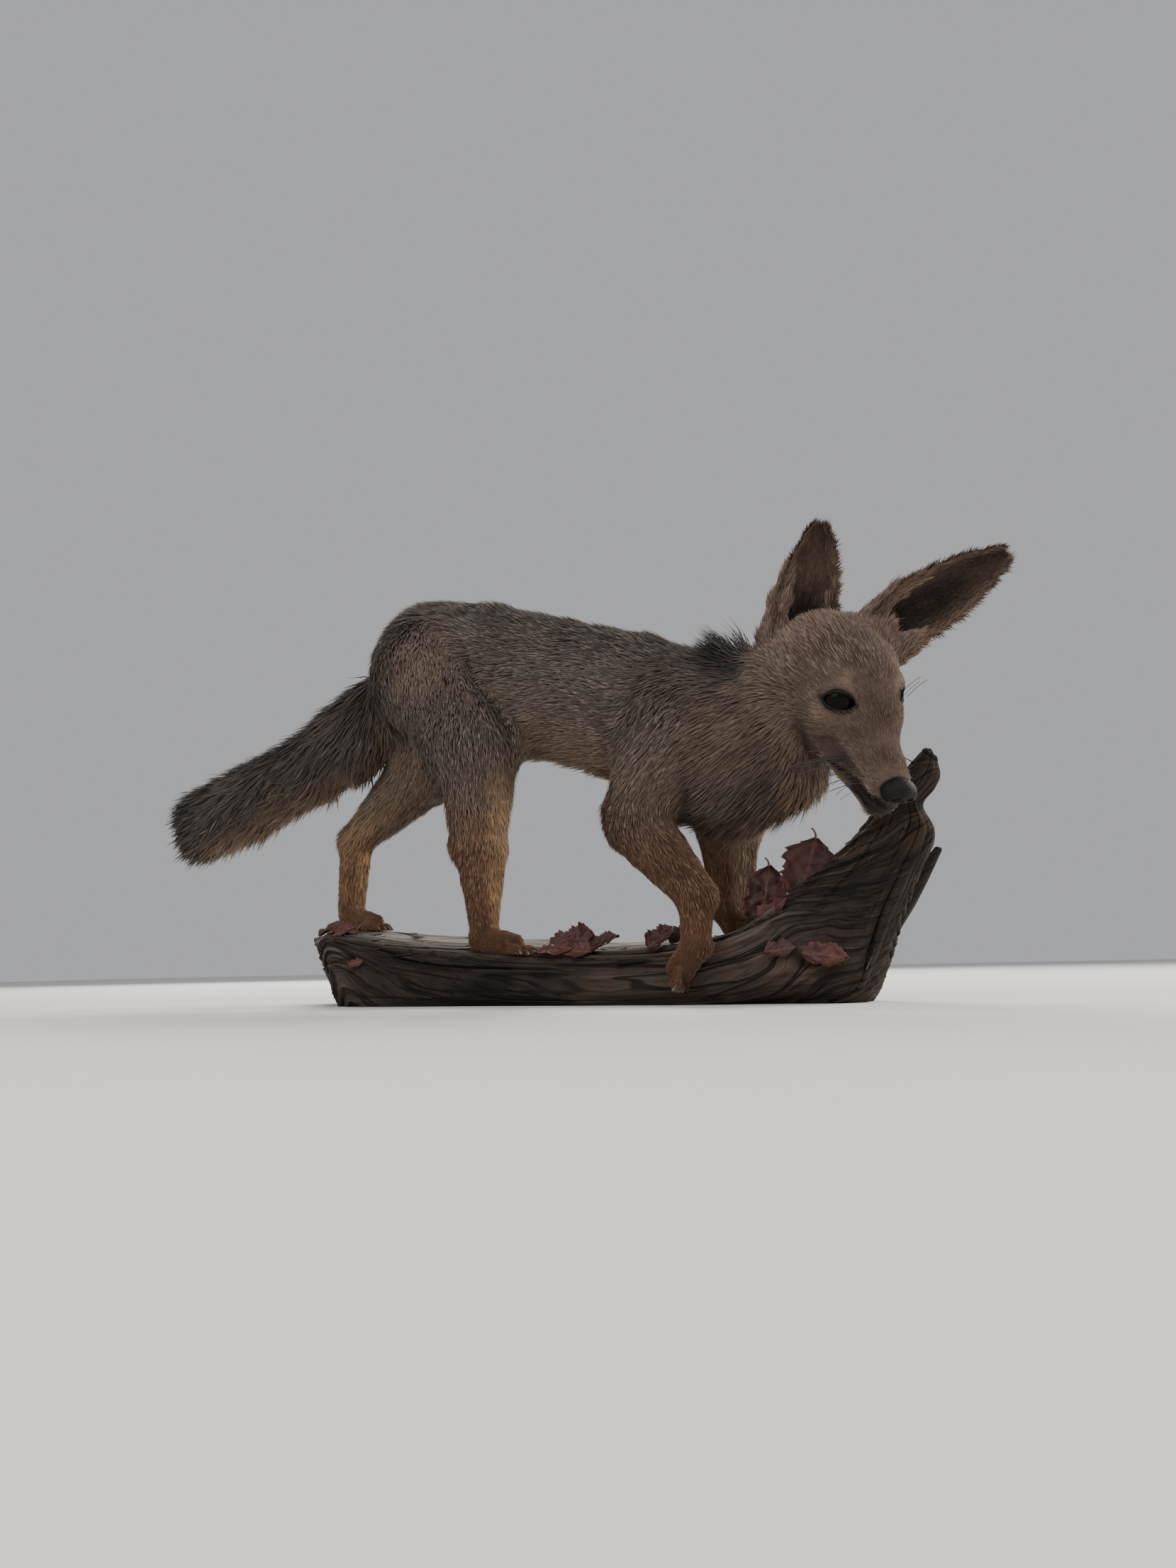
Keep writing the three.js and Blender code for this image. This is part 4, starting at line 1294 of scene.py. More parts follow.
@dataclass(frozen=True)
class MarkingsAndPaintedLight:
    """The coat's pattern, with painted shade along the flank fold, under the throat and at the near elbow, and a
    painted highlight on the brows. The skin and every tuft take their colours from here.
    """

    nape: Triple = (124, -30, 252)
    hip: Triple = (-124, -58, 262)
    tail_tip: float = -398
    leg_spots: Sequence[Triple] = ((119, 10, 112), (117, 7, 98), (116, 12, 88), (115, 6, 124))

    # soft ovals on the head's axes: colour, middle on the left side, half-sizes and strength
    FACE_SPOTS = (
        (Tone.BRIDGE, (24, 0, 2), (26, 9, 9), 0.55), (Tone.DARK, (-30, 0, 30), (30, 13, 12), 0.35),
        # the first oval on the next line, cream above the eye, is a painted highlight on the brow
        (Tone.CREAM, (-7, 20, 13), (7, 8, 5), 0.40), (Tone.CREAM, (2, 30, -12), (12, 8, 6), 0.20),
        (Tone.CREAM, (50, 13, -25), (12, 7, 3.0), 0.22), (Tone.CREAM, (24, 12, -44), (20, 9, 5), 0.30),
        (Tone.BRIDGE, (44, 14, -20), (9, 6, 5), 0.5),
    )

    def colour(self, roots: Roots) -> tuple[Array, Array, Array]:
        """The markings with their painted light, the colour of pale tips, and how common those are.

        Args:
            roots: the places.

        Returns:
            Two sets of colours, (N, 3), and a share from 0 to 1, (N,).
        """
        p, n = roots.points, roots.normals
        up, down = rise(0.1, 0.85, n[:, 2]), rise(0.15, 0.8, -n[:, 2])
        trunk, thigh = roots.share(Place.TRUNK), roots.share(Place.THIGH)
        tone = np.tile(np.array(Tone.GREY), (len(p), 1))
        tone = mix(tone, Tone.DARK, trunk * up * 0.75 * rise(-185, -120, p[:, 0]))
        tone = mix(tone, Tone.BROWN, trunk * rise(0.25, -0.6, n[:, 2]) * 0.45)
        tone = mix(tone, Tone.BUFF, trunk * down * 0.25)
        hip = lengths((p - np.array(self.hip)) / np.array([26, 40, 30]))
        tone = mix(tone, Tone.FAWN, bell(hip, 1) * 0.7)
        tone = mix(tone, Tone.FAWN, bell(path_distance(p, FLANK_FOLD - np.array([11, 2, 5])), 6) * 0.5)
        # painted shade: a near-black line along the flank fold, a crease in the skin
        tone = mix(tone, Tone.BLACK_AND_SHADE, bell(path_distance(p, FLANK_FOLD), 5.5) * 0.85)
        tone = mix(tone, Tone.BROWN, thigh * rise(215, 150, p[:, 2]) * 0.6)
        for pattern in (self.legs, self.tail, self.neck, self.head):
            tone = pattern(roots, tone)
        patch = 1 + 0.16 * noise(p / 17, 3) + 0.12 * noise(p / 6, 4)
        tone = tone * patch[:, None]
        tips = mix(np.tile(np.array(Tone.HOAR), (len(p), 1)), Tone.FAWN, roots.share(Place.NECK))
        warm = roots.share(Place.LEG, Place.FOOT) + roots.share(Place.FACE, Place.CROWN) * 0.5
        tips = mix(tips, Tone.STRAW, warm)
        likely = (
            trunk * (0.40 - 0.10 * up) + thigh * 0.38 + roots.share(Place.NECK) * 0.05
            + roots.share(Place.CROWN) * 0.40 + roots.share(Place.FACE) * 0.52
            + roots.share(Place.LEG) * 0.15 + roots.share(Place.FOOT) * 0.10 + roots.share(Place.TAIL) * 0.05
        )
        return np.clip(tone, 0, 1), tips, likely * (1 - self.crest(roots))

    def crest(self, roots: Roots) -> Array:
        """1 in the raised black hair of the nape and down its sides, fading to 0 round it."""
        p = roots.points
        reach = bell((p[:, 0] - self.nape[0] - 0.35 * (self.nape[2] - p[:, 2]).clip(0, 45)) / 19, 1)
        return np.minimum(roots.share(Place.NECK, Place.TRUNK), 1) * reach * rise(212, 230, p[:, 2])

    def legs(self, roots: Roots, tone: Array) -> Array:
        """Tawny legs, rustier behind, paler on the inside and in front."""
        p, n = roots.points, roots.normals
        leg = roots.share(Place.LEG, Place.FOOT)
        low = leg + roots.share(Place.THIGH) * rise(185, 120, p[:, 2])
        tone = mix(tone, Tone.TAWNY, low * 0.85)
        tone = mix(tone, Tone.RUST, low * rise(0.2, -0.8, n[:, 0]) * 0.5)
        right = roots.on(Part.HIND_RIGHT, Part.FORE_RIGHT)
        inner = rise(0.25, 0.9, np.where(right, n[:, 1], -n[:, 1]))
        tone = mix(tone, Tone.BUFF, (low + roots.share(Place.THIGH)) * inner * 0.26)
        shin = rise(0.55, 0.97, n[:, 0]) * roots.on(Part.HIND_RIGHT, Part.HIND_LEFT) * rise(200, 150, p[:, 2])
        tone = mix(tone, Tone.BUFF, (low + roots.share(Place.THIGH)).clip(0, 1) * shin * 0.8)
        # the near foreleg is darker round the elbow: partly its own colour, partly painted shade under the chest
        tone = mix(tone, Tone.DARK, roots.on(Part.FORE_RIGHT) * low * bell(p[:, 2] - 140, 42) * 0.6)
        tone = mix(tone, Tone.CREAM, roots.on(Part.FORE_LEFT) * low * rise(0.1, 0.7, n[:, 0]) * 0.75)
        for spot in self.leg_spots:
            tone = mix(tone, Tone.BLACK_AND_SHADE, bell(lengths(p - np.array(spot)), 5) * 0.75)
        return mix(tone, Tone.DARK, roots.share(Place.FOOT) * rise(0.2, 0.9, n[:, 0]) * 0.3)

    def tail(self, roots: Roots, tone: Array) -> Array:
        """A dark ridge on the brush, a buff underside and a black tip."""
        p, n = roots.points, roots.normals
        tail = roots.share(Place.TAIL)
        streaks = noise(p / np.array([26, 7, 7]), 5)
        tone = mix(tone, Tone.DARK, tail * 0.72)
        tone = mix(tone, Tone.GREY, tail * rise(0.1, 0.7, streaks) * 0.45)
        tone = mix(tone, Tone.BLACK_AND_SHADE, tail * rise(0.45, 0.95, n[:, 2]) * 0.75)
        tone = mix(tone, Tone.BUFF, tail * rise(0.5, 0.98, -n[:, 2]) * 0.34)
        return mix(tone, Tone.BLACK_AND_SHADE, tail * rise(self.tail_tip + 26, self.tail_tip, p[:, 0]) * 0.9)

    def neck(self, roots: Roots, tone: Array) -> Array:
        """A dark shoulder, a warm neck in front of it, a black nape, and painted shade under the throat, edged with
        tan.
        """
        p, n = roots.points, roots.normals
        neck = roots.share(Place.NECK)
        edge = 95 + 1.75 * np.minimum(p[:, 2] - 195, 24) + 0.58 * np.maximum(p[:, 2] - 219, 0)
        tone = mix(tone, Tone.DARK, neck * 0.3)
        tone = mix(tone, Tone.BROWN, neck * rise(-9, 9, p[:, 0] - edge) * 0.66)
        tone = mix(tone, Tone.BLACK_AND_SHADE, self.crest(roots) * 0.97)
        throat = neck * rise(0.0, 0.7, -n[:, 2])
        # painted shade: the underside of the neck is painted dark
        tone = mix(tone, Tone.DARK, throat * 0.72)
        return mix(tone, Tone.BUFF, throat * rise(0.35, 0.9, n[:, 0] * 0.8 - n[:, 2] * 0.4) * 0.34)

    def head(self, roots: Roots, tone: Array) -> Array:
        """A greyish-brown face with a painted highlight on the brows, light cheeks and chin, and dark lips."""
        h = HEAD.inward(roots.points)
        side = mirrored(h)
        face, crown = roots.share(Place.FACE), roots.share(Place.CROWN)
        both = face + crown
        tone = mix(tone, Tone.FACE, both * 0.95)
        tone = mix(tone, Tone.BROWN, crown * rise(-18, -42, h[:, 2]) * 0.55)
        for colour, at, size, strength in self.FACE_SPOTS:
            oval = bell(lengths((side - np.array(at)) / np.array(size)), 1)
            tone = mix(tone, colour, both * oval * strength)
        lips = path_distance(side, MOUTH)
        tone = mix(tone, Tone.BLACK_AND_SHADE, both * bell(np.maximum(lips - 1.2, 0), 1.5) * 0.95)
        below = path_distance(side, LOWER_LIP)
        front = rise(26, 46, side[:, 0])
        tone = mix(tone, Tone.BLACK_AND_SHADE, both * bell(np.maximum(below - 3.0, 0), 1.6) * front * 0.9)
        for sign in (1, -1):
            rim = EYE.opening(sign, h, 50)
            tone = mix(tone, Tone.BLACK_AND_SHADE, bell(np.maximum(rim - 0.8, 0), 1.6) * 0.95)
        return tone

    def bare(self, points: Array) -> Array:
        """1 where the hide is bare and dark, as on the lips and lids, and 0 in the coat."""
        h = HEAD.inward(points)
        side = mirrored(h)
        made = rise(2.0, 1.1, path_distance(side, MOUTH))
        made = np.maximum(made, rise(3.4, 2.4, path_distance(side, LOWER_LIP)) * rise(30, 42, side[:, 0]))
        nose = lengths((h - np.array(Nose.at)) / (np.array(Nose.half) + 1.0))
        made = np.maximum(made, rise(1.08, 0.96, nose))
        for sign in (1, -1):
            made = np.maximum(made, rise(1.4, 0.5, EYE.opening(sign, h, 50)))
        return made


MARKINGS_AND_PAINTED_LIGHT = MarkingsAndPaintedLight()


# ------------------------------------------------------------------------------- tufts
@dataclass
class Tufts:
    """Tufts of hair, each a thin closed lock that bends over the skin.

    Attributes:
        points, normals, lie: where each grows and the way it lies, (N, 3).
        length, width, lift, tangle: its sizes, (N,).
        marking, tip: its colours, (N, 3).
        pale: how pale its tip is, (N,).
        place: its root on the skin's unwrap, (N, 2).
        long_from: from this length a tuft has the longer shape.
        sink: how deep it is rooted.
        patch: half the size of its patch on the unwrap.
        lowest: nothing hangs below this height.
    """

    points: Array
    normals: Array
    lie: Array
    length: Array
    width: Array
    lift: Array
    tangle: Array
    marking: Array
    tip: Array
    pale: Array
    place: Array
    long_from: float = 8.3
    sink: float = 0.5
    patch: float = 0.0015
    lowest: float = 0.4

    # each corner of a tuft: along it, across it, height of its ridge, and its place in its patch
    SHORT = ((0, -0.5, 0, -1, -1), (0, 0.5, 0, 1, -1), (0.46, 0, 0.26, 0, 0.1), (1, 0, 0, 0, 1))
    SHORT_FACES = ((0, 1, 3), (0, 3, 2), (2, 3, 1), (0, 2, 1))
    LONG = (
        (0, -0.42, 0, -1, -1), (0, 0.42, 0, 1, -1), (0.5, -0.5, 0, -1, 0), (0.5, 0.5, 0, 1, 0),
        (0.46, 0, 0.24, 0, 0), (1, 0, 0, 0, 1),
    )
    LONG_FACES = ((0, 1, 3), (0, 3, 2), (2, 3, 5), (0, 2, 4), (0, 4, 1), (1, 4, 3), (2, 5, 4), (4, 5, 3))

    def build(self, name: str, rng: np.random.Generator, slot: str) -> bpy.types.Object:
        swirl = 0.9 * noise(self.points / 26, 11) + 0.7 * noise(self.points / 7, 12)
        angle = self.tangle * (swirl + rng.normal(0, 0.55, len(self.points)))
        across = np.cross(self.normals, self.lie)
        ahead = self.lie * np.cos(angle)[:, None] + across * np.sin(angle)[:, None]
        across = np.cross(self.normals, ahead)
        length = self.length * rng.uniform(0.72, 1.22, len(self.points))
        lift = self.lift * rng.uniform(0.6, 1.35, len(self.points))
        lift = lift * (1 + 0.35 * noise(self.points / 9, 13))
        shade = rng.uniform(0, 1, len(self.points)) * 0.6 + 0.2 + 0.2 * noise(self.points / 5, 14)
        points, faces, corner_of, strand, place = [], [], [], [], []
        first = 0
        kinds = ((self.SHORT, self.SHORT_FACES, length < self.long_from),
                 (self.LONG, self.LONG_FACES, length >= self.long_from))
        for corners, shape, chosen in kinds:
            pick = np.flatnonzero(chosen)
            if not pick.size:
                continue
            table = np.array(corners, float)
            s = table[:, 0]
            width = self.width[pick, None] * table[:, 1]
            bend = lift[pick, None] * length[pick, None] * (1.55 * s - 0.55 * s * s) - self.sink
            height = bend + self.width[pick, None] * table[:, 2]
            made = (
                self.points[pick, None]
                + ahead[pick, None] * (length[pick, None] * s)[..., None]
                + across[pick, None] * width[..., None]
                + self.normals[pick, None] * height[..., None]
            )
            made[..., 2] = np.maximum(made[..., 2], self.lowest)
            count, size = len(pick), len(corners)
            faces.append((np.array(shape)[None] + (np.arange(count) * size + first)[:, None, None]).reshape(-1, 3))
            points.append(made.reshape(-1, 3))
            corner_of.append(np.repeat(pick, size))
            strand.append(np.tile(s, count))
            place.append((self.place[pick, None] + table[:, 3:] * self.patch).reshape(-1, 2))
            first += count * size
        owner = np.concatenate(corner_of)
        piece = new_mesh(name, np.concatenate(points), np.concatenate(faces), smooth=False)
        paint(
            piece.data, marking=self.marking[owner], tip=self.tip[owner], strand=np.concatenate(strand),
            shade=shade[owner], pale=self.pale[owner],
        )
        unwrap(piece.data, np.concatenate(place))
        return settle(piece, slot, dress=Dress.HAIR)


@dataclass
class Skin:
    """The one skin of the body, which stands for every node of flesh.

    Its mesh is finer within face_reach, foot_reach, eye_reach and mouth_reach of those places.
    """

    form: Form
    cell: float = 2.6
    low: Triple = (-462, -150, 4)
    high: Triple = (322, 92, 346)
    island_gap: float = 0.002
    seam_angle: float = 66
    face_reach: float = 62
    foot_reach: float = 19
    eye_reach: float = 15.5
    mouth_reach: float = 4.5
    piece: bpy.types.Object | None = None

    FEET = ((-52, -44, 43), (-224, 31, 68), (90, -62, 16), (112, 13, 56))

    @staticmethod
    def refine(mesh: bpy.types.Mesh, wanted: Callable[[Array], Array]) -> None:
        """Splits the edges of the faces whose centres are wanted, once."""
        bm = bmesh.new()
        bm.from_mesh(mesh)
        centres = np.array([f.calc_center_median() for f in bm.faces]) / MM
        chosen = wanted(centres)
        edges = {e for f, pick in zip(bm.faces, chosen) if pick for e in f.edges}
        bmesh.ops.subdivide_edges(bm, edges=list(edges), cuts=1, use_grid_fill=True)
        bm.to_mesh(mesh)
        bm.free()

    def in_head(self, centres: Array) -> Array:
        """Whether places are on the face."""
        h = HEAD.inward(centres)
        return (h[:, 0] > -42) & (lengths(h - np.array([16, 0, -14])) < self.face_reach)

    def in_detail(self, centres: Array) -> Array:
        """Whether places are by an eye or by the mouth."""
        side = mirrored(HEAD.inward(centres))
        gaze = EYE.axes(1)[0]
        eye = lengths(side - EYE.centre(1) - gaze * EYE.radius) < self.eye_reach
        return eye | (path_distance(side, MOUTH) < self.mouth_reach)

    def on_feet(self, centres: Array) -> Array:
        """Whether places are on a foot."""
        gaps = [lengths(centres - np.array(foot)) for foot in self.FEET]
        return np.min(gaps, axis=0) < self.foot_reach

    def build(self) -> bpy.types.Object:
        """Meshes the skin, unwraps it and gives it the markings."""
        points, faces = surface_net(self.form.skin, np.array(self.low), np.array(self.high), self.cell)
        points = draw_to_surface(self.form.skin, points, 2, 0.5)
        piece = new_mesh("skin", points, faces)
        self.refine(piece.data, lambda c: self.in_head(c) | self.on_feet(c))
        self.refine(piece.data, self.in_detail)
        moved = draw_to_surface(self.form.skin, mesh_points(piece.data), 3, 0.45)
        move_points(piece.data, moved)
        mend(piece.data, turn=False, cut=True)
        piece.data.polygons.foreach_set("use_smooth", np.full(len(piece.data.polygons), True))
        self.unwrap(piece)
        self.piece = piece
        roots = self.roots()
        paint(piece.data, marking=MARKINGS_AND_PAINTED_LIGHT.colour(roots)[0], bare=MARKINGS_AND_PAINTED_LIGHT.bare(roots.points))
        return settle(piece, "coat", *FLESH_NODES, dress=Dress.HIDE)

    def unwrap(self, piece: bpy.types.Object) -> None:
        """Unwraps the skin by its own shape."""
        piece.data.uv_layers.new(name="OFBake")
        bpy.context.view_layer.objects.active = piece
        piece.select_set(True)
        bpy.ops.object.mode_set(mode="EDIT")
        bpy.ops.mesh.select_all(action="SELECT")
        bpy.ops.uv.smart_project(angle_limit=math.radians(self.seam_angle), island_margin=self.island_gap)
        bpy.ops.object.mode_set(mode="OBJECT")
        piece.select_set(False)

    def roots(self) -> Roots:
        """What the coat is like at each vertex."""
        mesh = self.piece.data
        return self.form.roots(mesh_points(mesh), vertex_vectors(mesh, "normal"))


@dataclass
class Fur:
    """The coat of the body: tufts over the skin, in one or more pieces for each part."""

    skin: Skin
    seed: int = 20
    most_faces: int = 190_000

    def grow(self) -> None:
        """Grows every piece."""
        mesh = self.skin.piece.data
        faces = mesh_corners(mesh).reshape(-1, 3)
        at = self.skin.roots()
        bare = MARKINGS_AND_PAINTED_LIGHT.bare(at.points)
        density = at.coat["density"] * np.where(bare > 0.4, 0, 1)
        corner = at.points[faces]
        area = lengths(np.cross(corner[:, 1] - corner[:, 0], corner[:, 2] - corner[:, 0])) / 2
        expected = area * density[faces].mean(1)
        places = np.empty(len(mesh.loops) * 2, np.float32)
        mesh.uv_layers["OFBake"].data.foreach_get("uv", places)
        places = places.reshape(-1, 3, 2)
        owner = at.parts[faces[:, 0]]
        for number, part in enumerate(PARTS):
            mine = np.flatnonzero(owner == number)
            rng = np.random.default_rng(self.seed + number)
            total = np.cumsum(expected[mine])
            count = int(total[-1])
            drawn = (np.arange(count) + rng.uniform(0, 1, count)) / count * total[-1]
            chosen = mine[np.minimum(np.searchsorted(total, drawn), len(mine) - 1)]
            weights = rng.dirichlet((1, 1, 1), count)
            order = np.argsort(at.points[faces[chosen, 0], 0], kind="stable")
            self.make_part(part, at, faces, places, chosen[order], weights[order], rng)

    def make_part(
        self, part: Part, at: Roots, faces: Array, places: Array, chosen: Array, weights: Array,
        rng: np.random.Generator,
    ) -> None:
        """Makes one part's tufts.

        Args:
            part: the part.
            at: the coat at each vertex.
            faces: the skin's triangles.
            places: their corners on the unwrap, (F, 3, 2).
            chosen: the triangle of each tuft.
            weights: its place in that triangle.
            rng: the part's own random numbers.
        """
        def spread(values: Array) -> Array:
            """Values at the vertices, carried to the roots."""
            shape = (slice(None), slice(None)) + (None,) * (values.ndim - 1)
            return (values[faces[chosen]] * weights[shape]).sum(1)

        roots = Roots(
            spread(at.points), unit(spread(at.normals)), unit(spread(at.lie)), spread(at.shares),
            at.parts[faces[chosen, 0]], {k: spread(v) for k, v in at.coat.items()},
        )
        tone, tips, likely = MARKINGS_AND_PAINTED_LIGHT.colour(roots)
        length, lift = self.style(roots)
        pale = np.where(rng.uniform(0, 1, len(chosen)) < likely, rng.uniform(0.45, 1, len(chosen)), 0.08)
        width = roots.coat["width"] * np.sqrt(length / roots.coat["length"])
        tufts = Tufts(
            roots.points, roots.normals, roots.lie, length, width, lift, roots.coat["tangle"], tone, tips, pale,
            (places[chosen] * weights[..., None]).sum(1),
        )
        weight = np.where(length < tufts.long_from * 1.03, 4, 8)
        chunks = max(1, math.ceil(weight.sum() / self.most_faces))
        slot = "leg_coat" if "leg" in part.value else "coat"
        for i in range(chunks):
            some = slice(len(chosen) * i // chunks, len(chosen) * (i + 1) // chunks)
            own = {k: getattr(tufts, k)[some] for k in (
                "points", "normals", "lie", "length", "width", "lift", "tangle", "marking", "tip", "pale", "place"
            )}
            Tufts(**own).build(f"coat_{part.value}" + (f"_{i + 1}" if chunks > 1 else ""), rng, slot)

    @staticmethod
    def style(roots: Roots) -> tuple[Array, Array]:
        """Tuft length and lift, with the longer fringes and the raised nape."""
        p, n = roots.points, roots.normals
        length, lift = roots.coat["length"].copy(), roots.coat["lift"].copy()
        nape = MARKINGS_AND_PAINTED_LIGHT.crest(roots) * rise(230, 243, p[:, 2])
        fold = bell(path_distance(p, FLANK_FOLD), 6)
        throat = roots.share(Place.NECK) * rise(0.2, 0.9, -n[:, 2])
        brush = roots.share(Place.TAIL) * rise(0.2, 0.9, -n[:, 2])
        belly = roots.share(Place.TRUNK) * rise(0.5, 0.95, -n[:, 2])
        length *= (1 - 0.5 * fold) * (1 + 0.6 * nape + 0.45 * throat + 0.15 * brush + 0.25 * belly)
        length *= 1 - 0.55 * roots.share(Place.TAIL) * rise(-392, -428, p[:, 0])
        lift *= 1 + 1.7 * nape + 0.5 * throat + 0.15 * brush + 0.35 * belly
        h = HEAD.inward(p)
        middles = [EYE.centre(s) + EYE.axes(s)[0] * EYE.radius for s in (1, -1)]
        eyes = np.min([lengths(h - m) for m in middles], axis=0) - EYE.half_length
        close = np.minimum(eyes, lengths(h - np.array(Nose.at)) - 11)
        length *= 0.5 + 0.5 * rise(0.0, 7.0, close)
        return length, lift


# ------------------------------------------------------------------------------- the face
def tube(path: Array, radius: Array, sides: int, closed: bool) -> tuple[Array, list[tuple[int, ...]]]:
    """A round tube along a path.

    Args:
        path: (N, 3) in millimetres.
        radius: (N,).
        sides: points round it.
        closed: join the ends.

    Returns:
        Vertices and faces. An open tube's ends are capped.
    """
    count = len(path)
    ahead = np.roll(path, -1, 0) - np.roll(path, 1, 0)
    if not closed:
        ahead[0], ahead[-1] = path[1] - path[0], path[-1] - path[-2]
    ahead = unit(ahead)
    helper = unit(np.cross(ahead[0], (0.31, 0.52, 0.79)))
    sides_at, frames = np.arange(sides) / sides * 2 * math.pi, []
    for i in range(count):
        helper = unit(helper - ahead[i] * (helper @ ahead[i]))
        other = np.cross(ahead[i], helper)
        ringed = np.cos(sides_at)[:, None] * helper + np.sin(sides_at)[:, None] * other
        frames.append(path[i] + ringed * radius[i])
    faces, last = ring_faces(count, sides), (count - 1) * sides
    if closed:
        shift = int(lengths(frames[0] - frames[-1][0]).argmin())
        for j in range(sides):
            k = (j + 1) % sides
            faces.append((last + j, last + k, (k + shift) % sides, (j + shift) % sides))
    else:
        faces.append(tuple(range(sides))[::-1])
        faces.append(tuple(last + j for j in range(sides)))
    return np.concatenate(frames), faces


@dataclass
class Eyes:
    """Two glass eyes with a cornea, and the dark rims of their lids."""

    cornea: float = 0.7
    rim: float = 0.85
    steps: int = 64

    def ball(self, name: str, sign: int) -> bpy.types.Object:
        """One eyeball."""
        bm = bmesh.new()
        bmesh.ops.create_icosphere(bm, subdivisions=5, radius=1.0)
        points = np.array([v.co for v in bm.verts])
        faces = np.array([[v.index for v in f.verts] for f in bm.faces])
        bm.free()
        gaze, _, up = EYE.axes(sign)
        swell = 1 + self.cornea / EYE.radius * rise(0.70, 0.95, points @ gaze)
        made = EYE.centre(sign) + points * swell[:, None] * EYE.radius
        piece = new_mesh(name + "_ball", HEAD.outward(made), faces)
        turn = HEAD.turn()
        finish = EyeFinish(
            name + "_glass", tuple(HEAD.outward(EYE.centre(sign)) * MM), tuple(turn @ gaze), tuple(turn @ up),
            EYE.radius * MM,
        )
        piece.data.materials.append(finish.make())
        return settle(piece, "eye", name)

    def lids(self, name: str, sign: int) -> bpy.types.Object:
        """The rim of one eye's lids, thicker above."""
        path = HEAD.outward(EYE.edge(sign, self.steps, 0.75))
        angle = np.arange(self.steps) / self.steps * 2 * math.pi
        radius = self.rim * (1 + 0.3 * np.maximum(np.sin(angle), 0))
        points, faces = tube(path, radius, 8, closed=True)
        return settle(new_mesh(name, points, faces), "nose", dress=Dress.LEATHER)

    def build(self) -> None:
        """Both eyes and both rims."""
        for side, sign in (("left", 1), ("right", -1)):
            self.ball(f"eye_{side}", sign)
            self.lids(f"lid_rim_{side}", sign)


@dataclass
class Nose:
    """The nose pad, with its wings, nostrils and the groove under them."""

    cell: float = 0.62
    at = (64.5, 0.0, -16.8)
    half = (8.6, 12.5, 9.4)

    def distance(self, points: Array) -> Array:
        """Signed distance from the pad, on the head's axes."""
        p = points - np.array(self.at)
        side = mirrored(p)

        def ball(at: Triple, size: Triple) -> Array:
            """An oval ball."""
            q = (side - np.array(at)) / np.array(size)
            k0 = lengths(q)
            k1 = lengths(q / np.array(size))
            return k0 * (k0 - 1) / np.maximum(k1, 1e-6)

        total = ball((-1.4, 0, 0.8), (8.3, 10.4, 8.5))
        total = smooth_min(total, ball((-0.6, 7.4, -0.6), (6.0, 4.7, 5.5)), 3)
        nostril = np.minimum(
            segment_distance(side, (6.0, 4.0, -0.4), (4.7, 6.5, -1.6)) - 1.7,
            segment_distance(side, (4.7, 6.5, -1.6), (0.4, 10.2, -4.0)) - 0.85,
        )
        total = smooth_max(total, -nostril, 1.2)
        groove = np.abs(p[:, 1]) + np.maximum(p[:, 2] + 1.0, 0) * 0.6
        return total + 0.9 * bell(groove, 0.9) * rise(0, 3, p[:, 0])

    def build(self) -> bpy.types.Object:
        """Meshes the pad."""
        centre, reach = np.array(self.at), np.array(self.half) + 3
        points, faces = surface_net(self.distance, centre - reach, centre + reach, self.cell)
        points = draw_to_surface(self.distance, points, 3, 0.2)
        piece = new_mesh("nose_pad", HEAD.outward(points), faces)
        return settle(piece, "nose", "nose", dress=Dress.LEATHER)


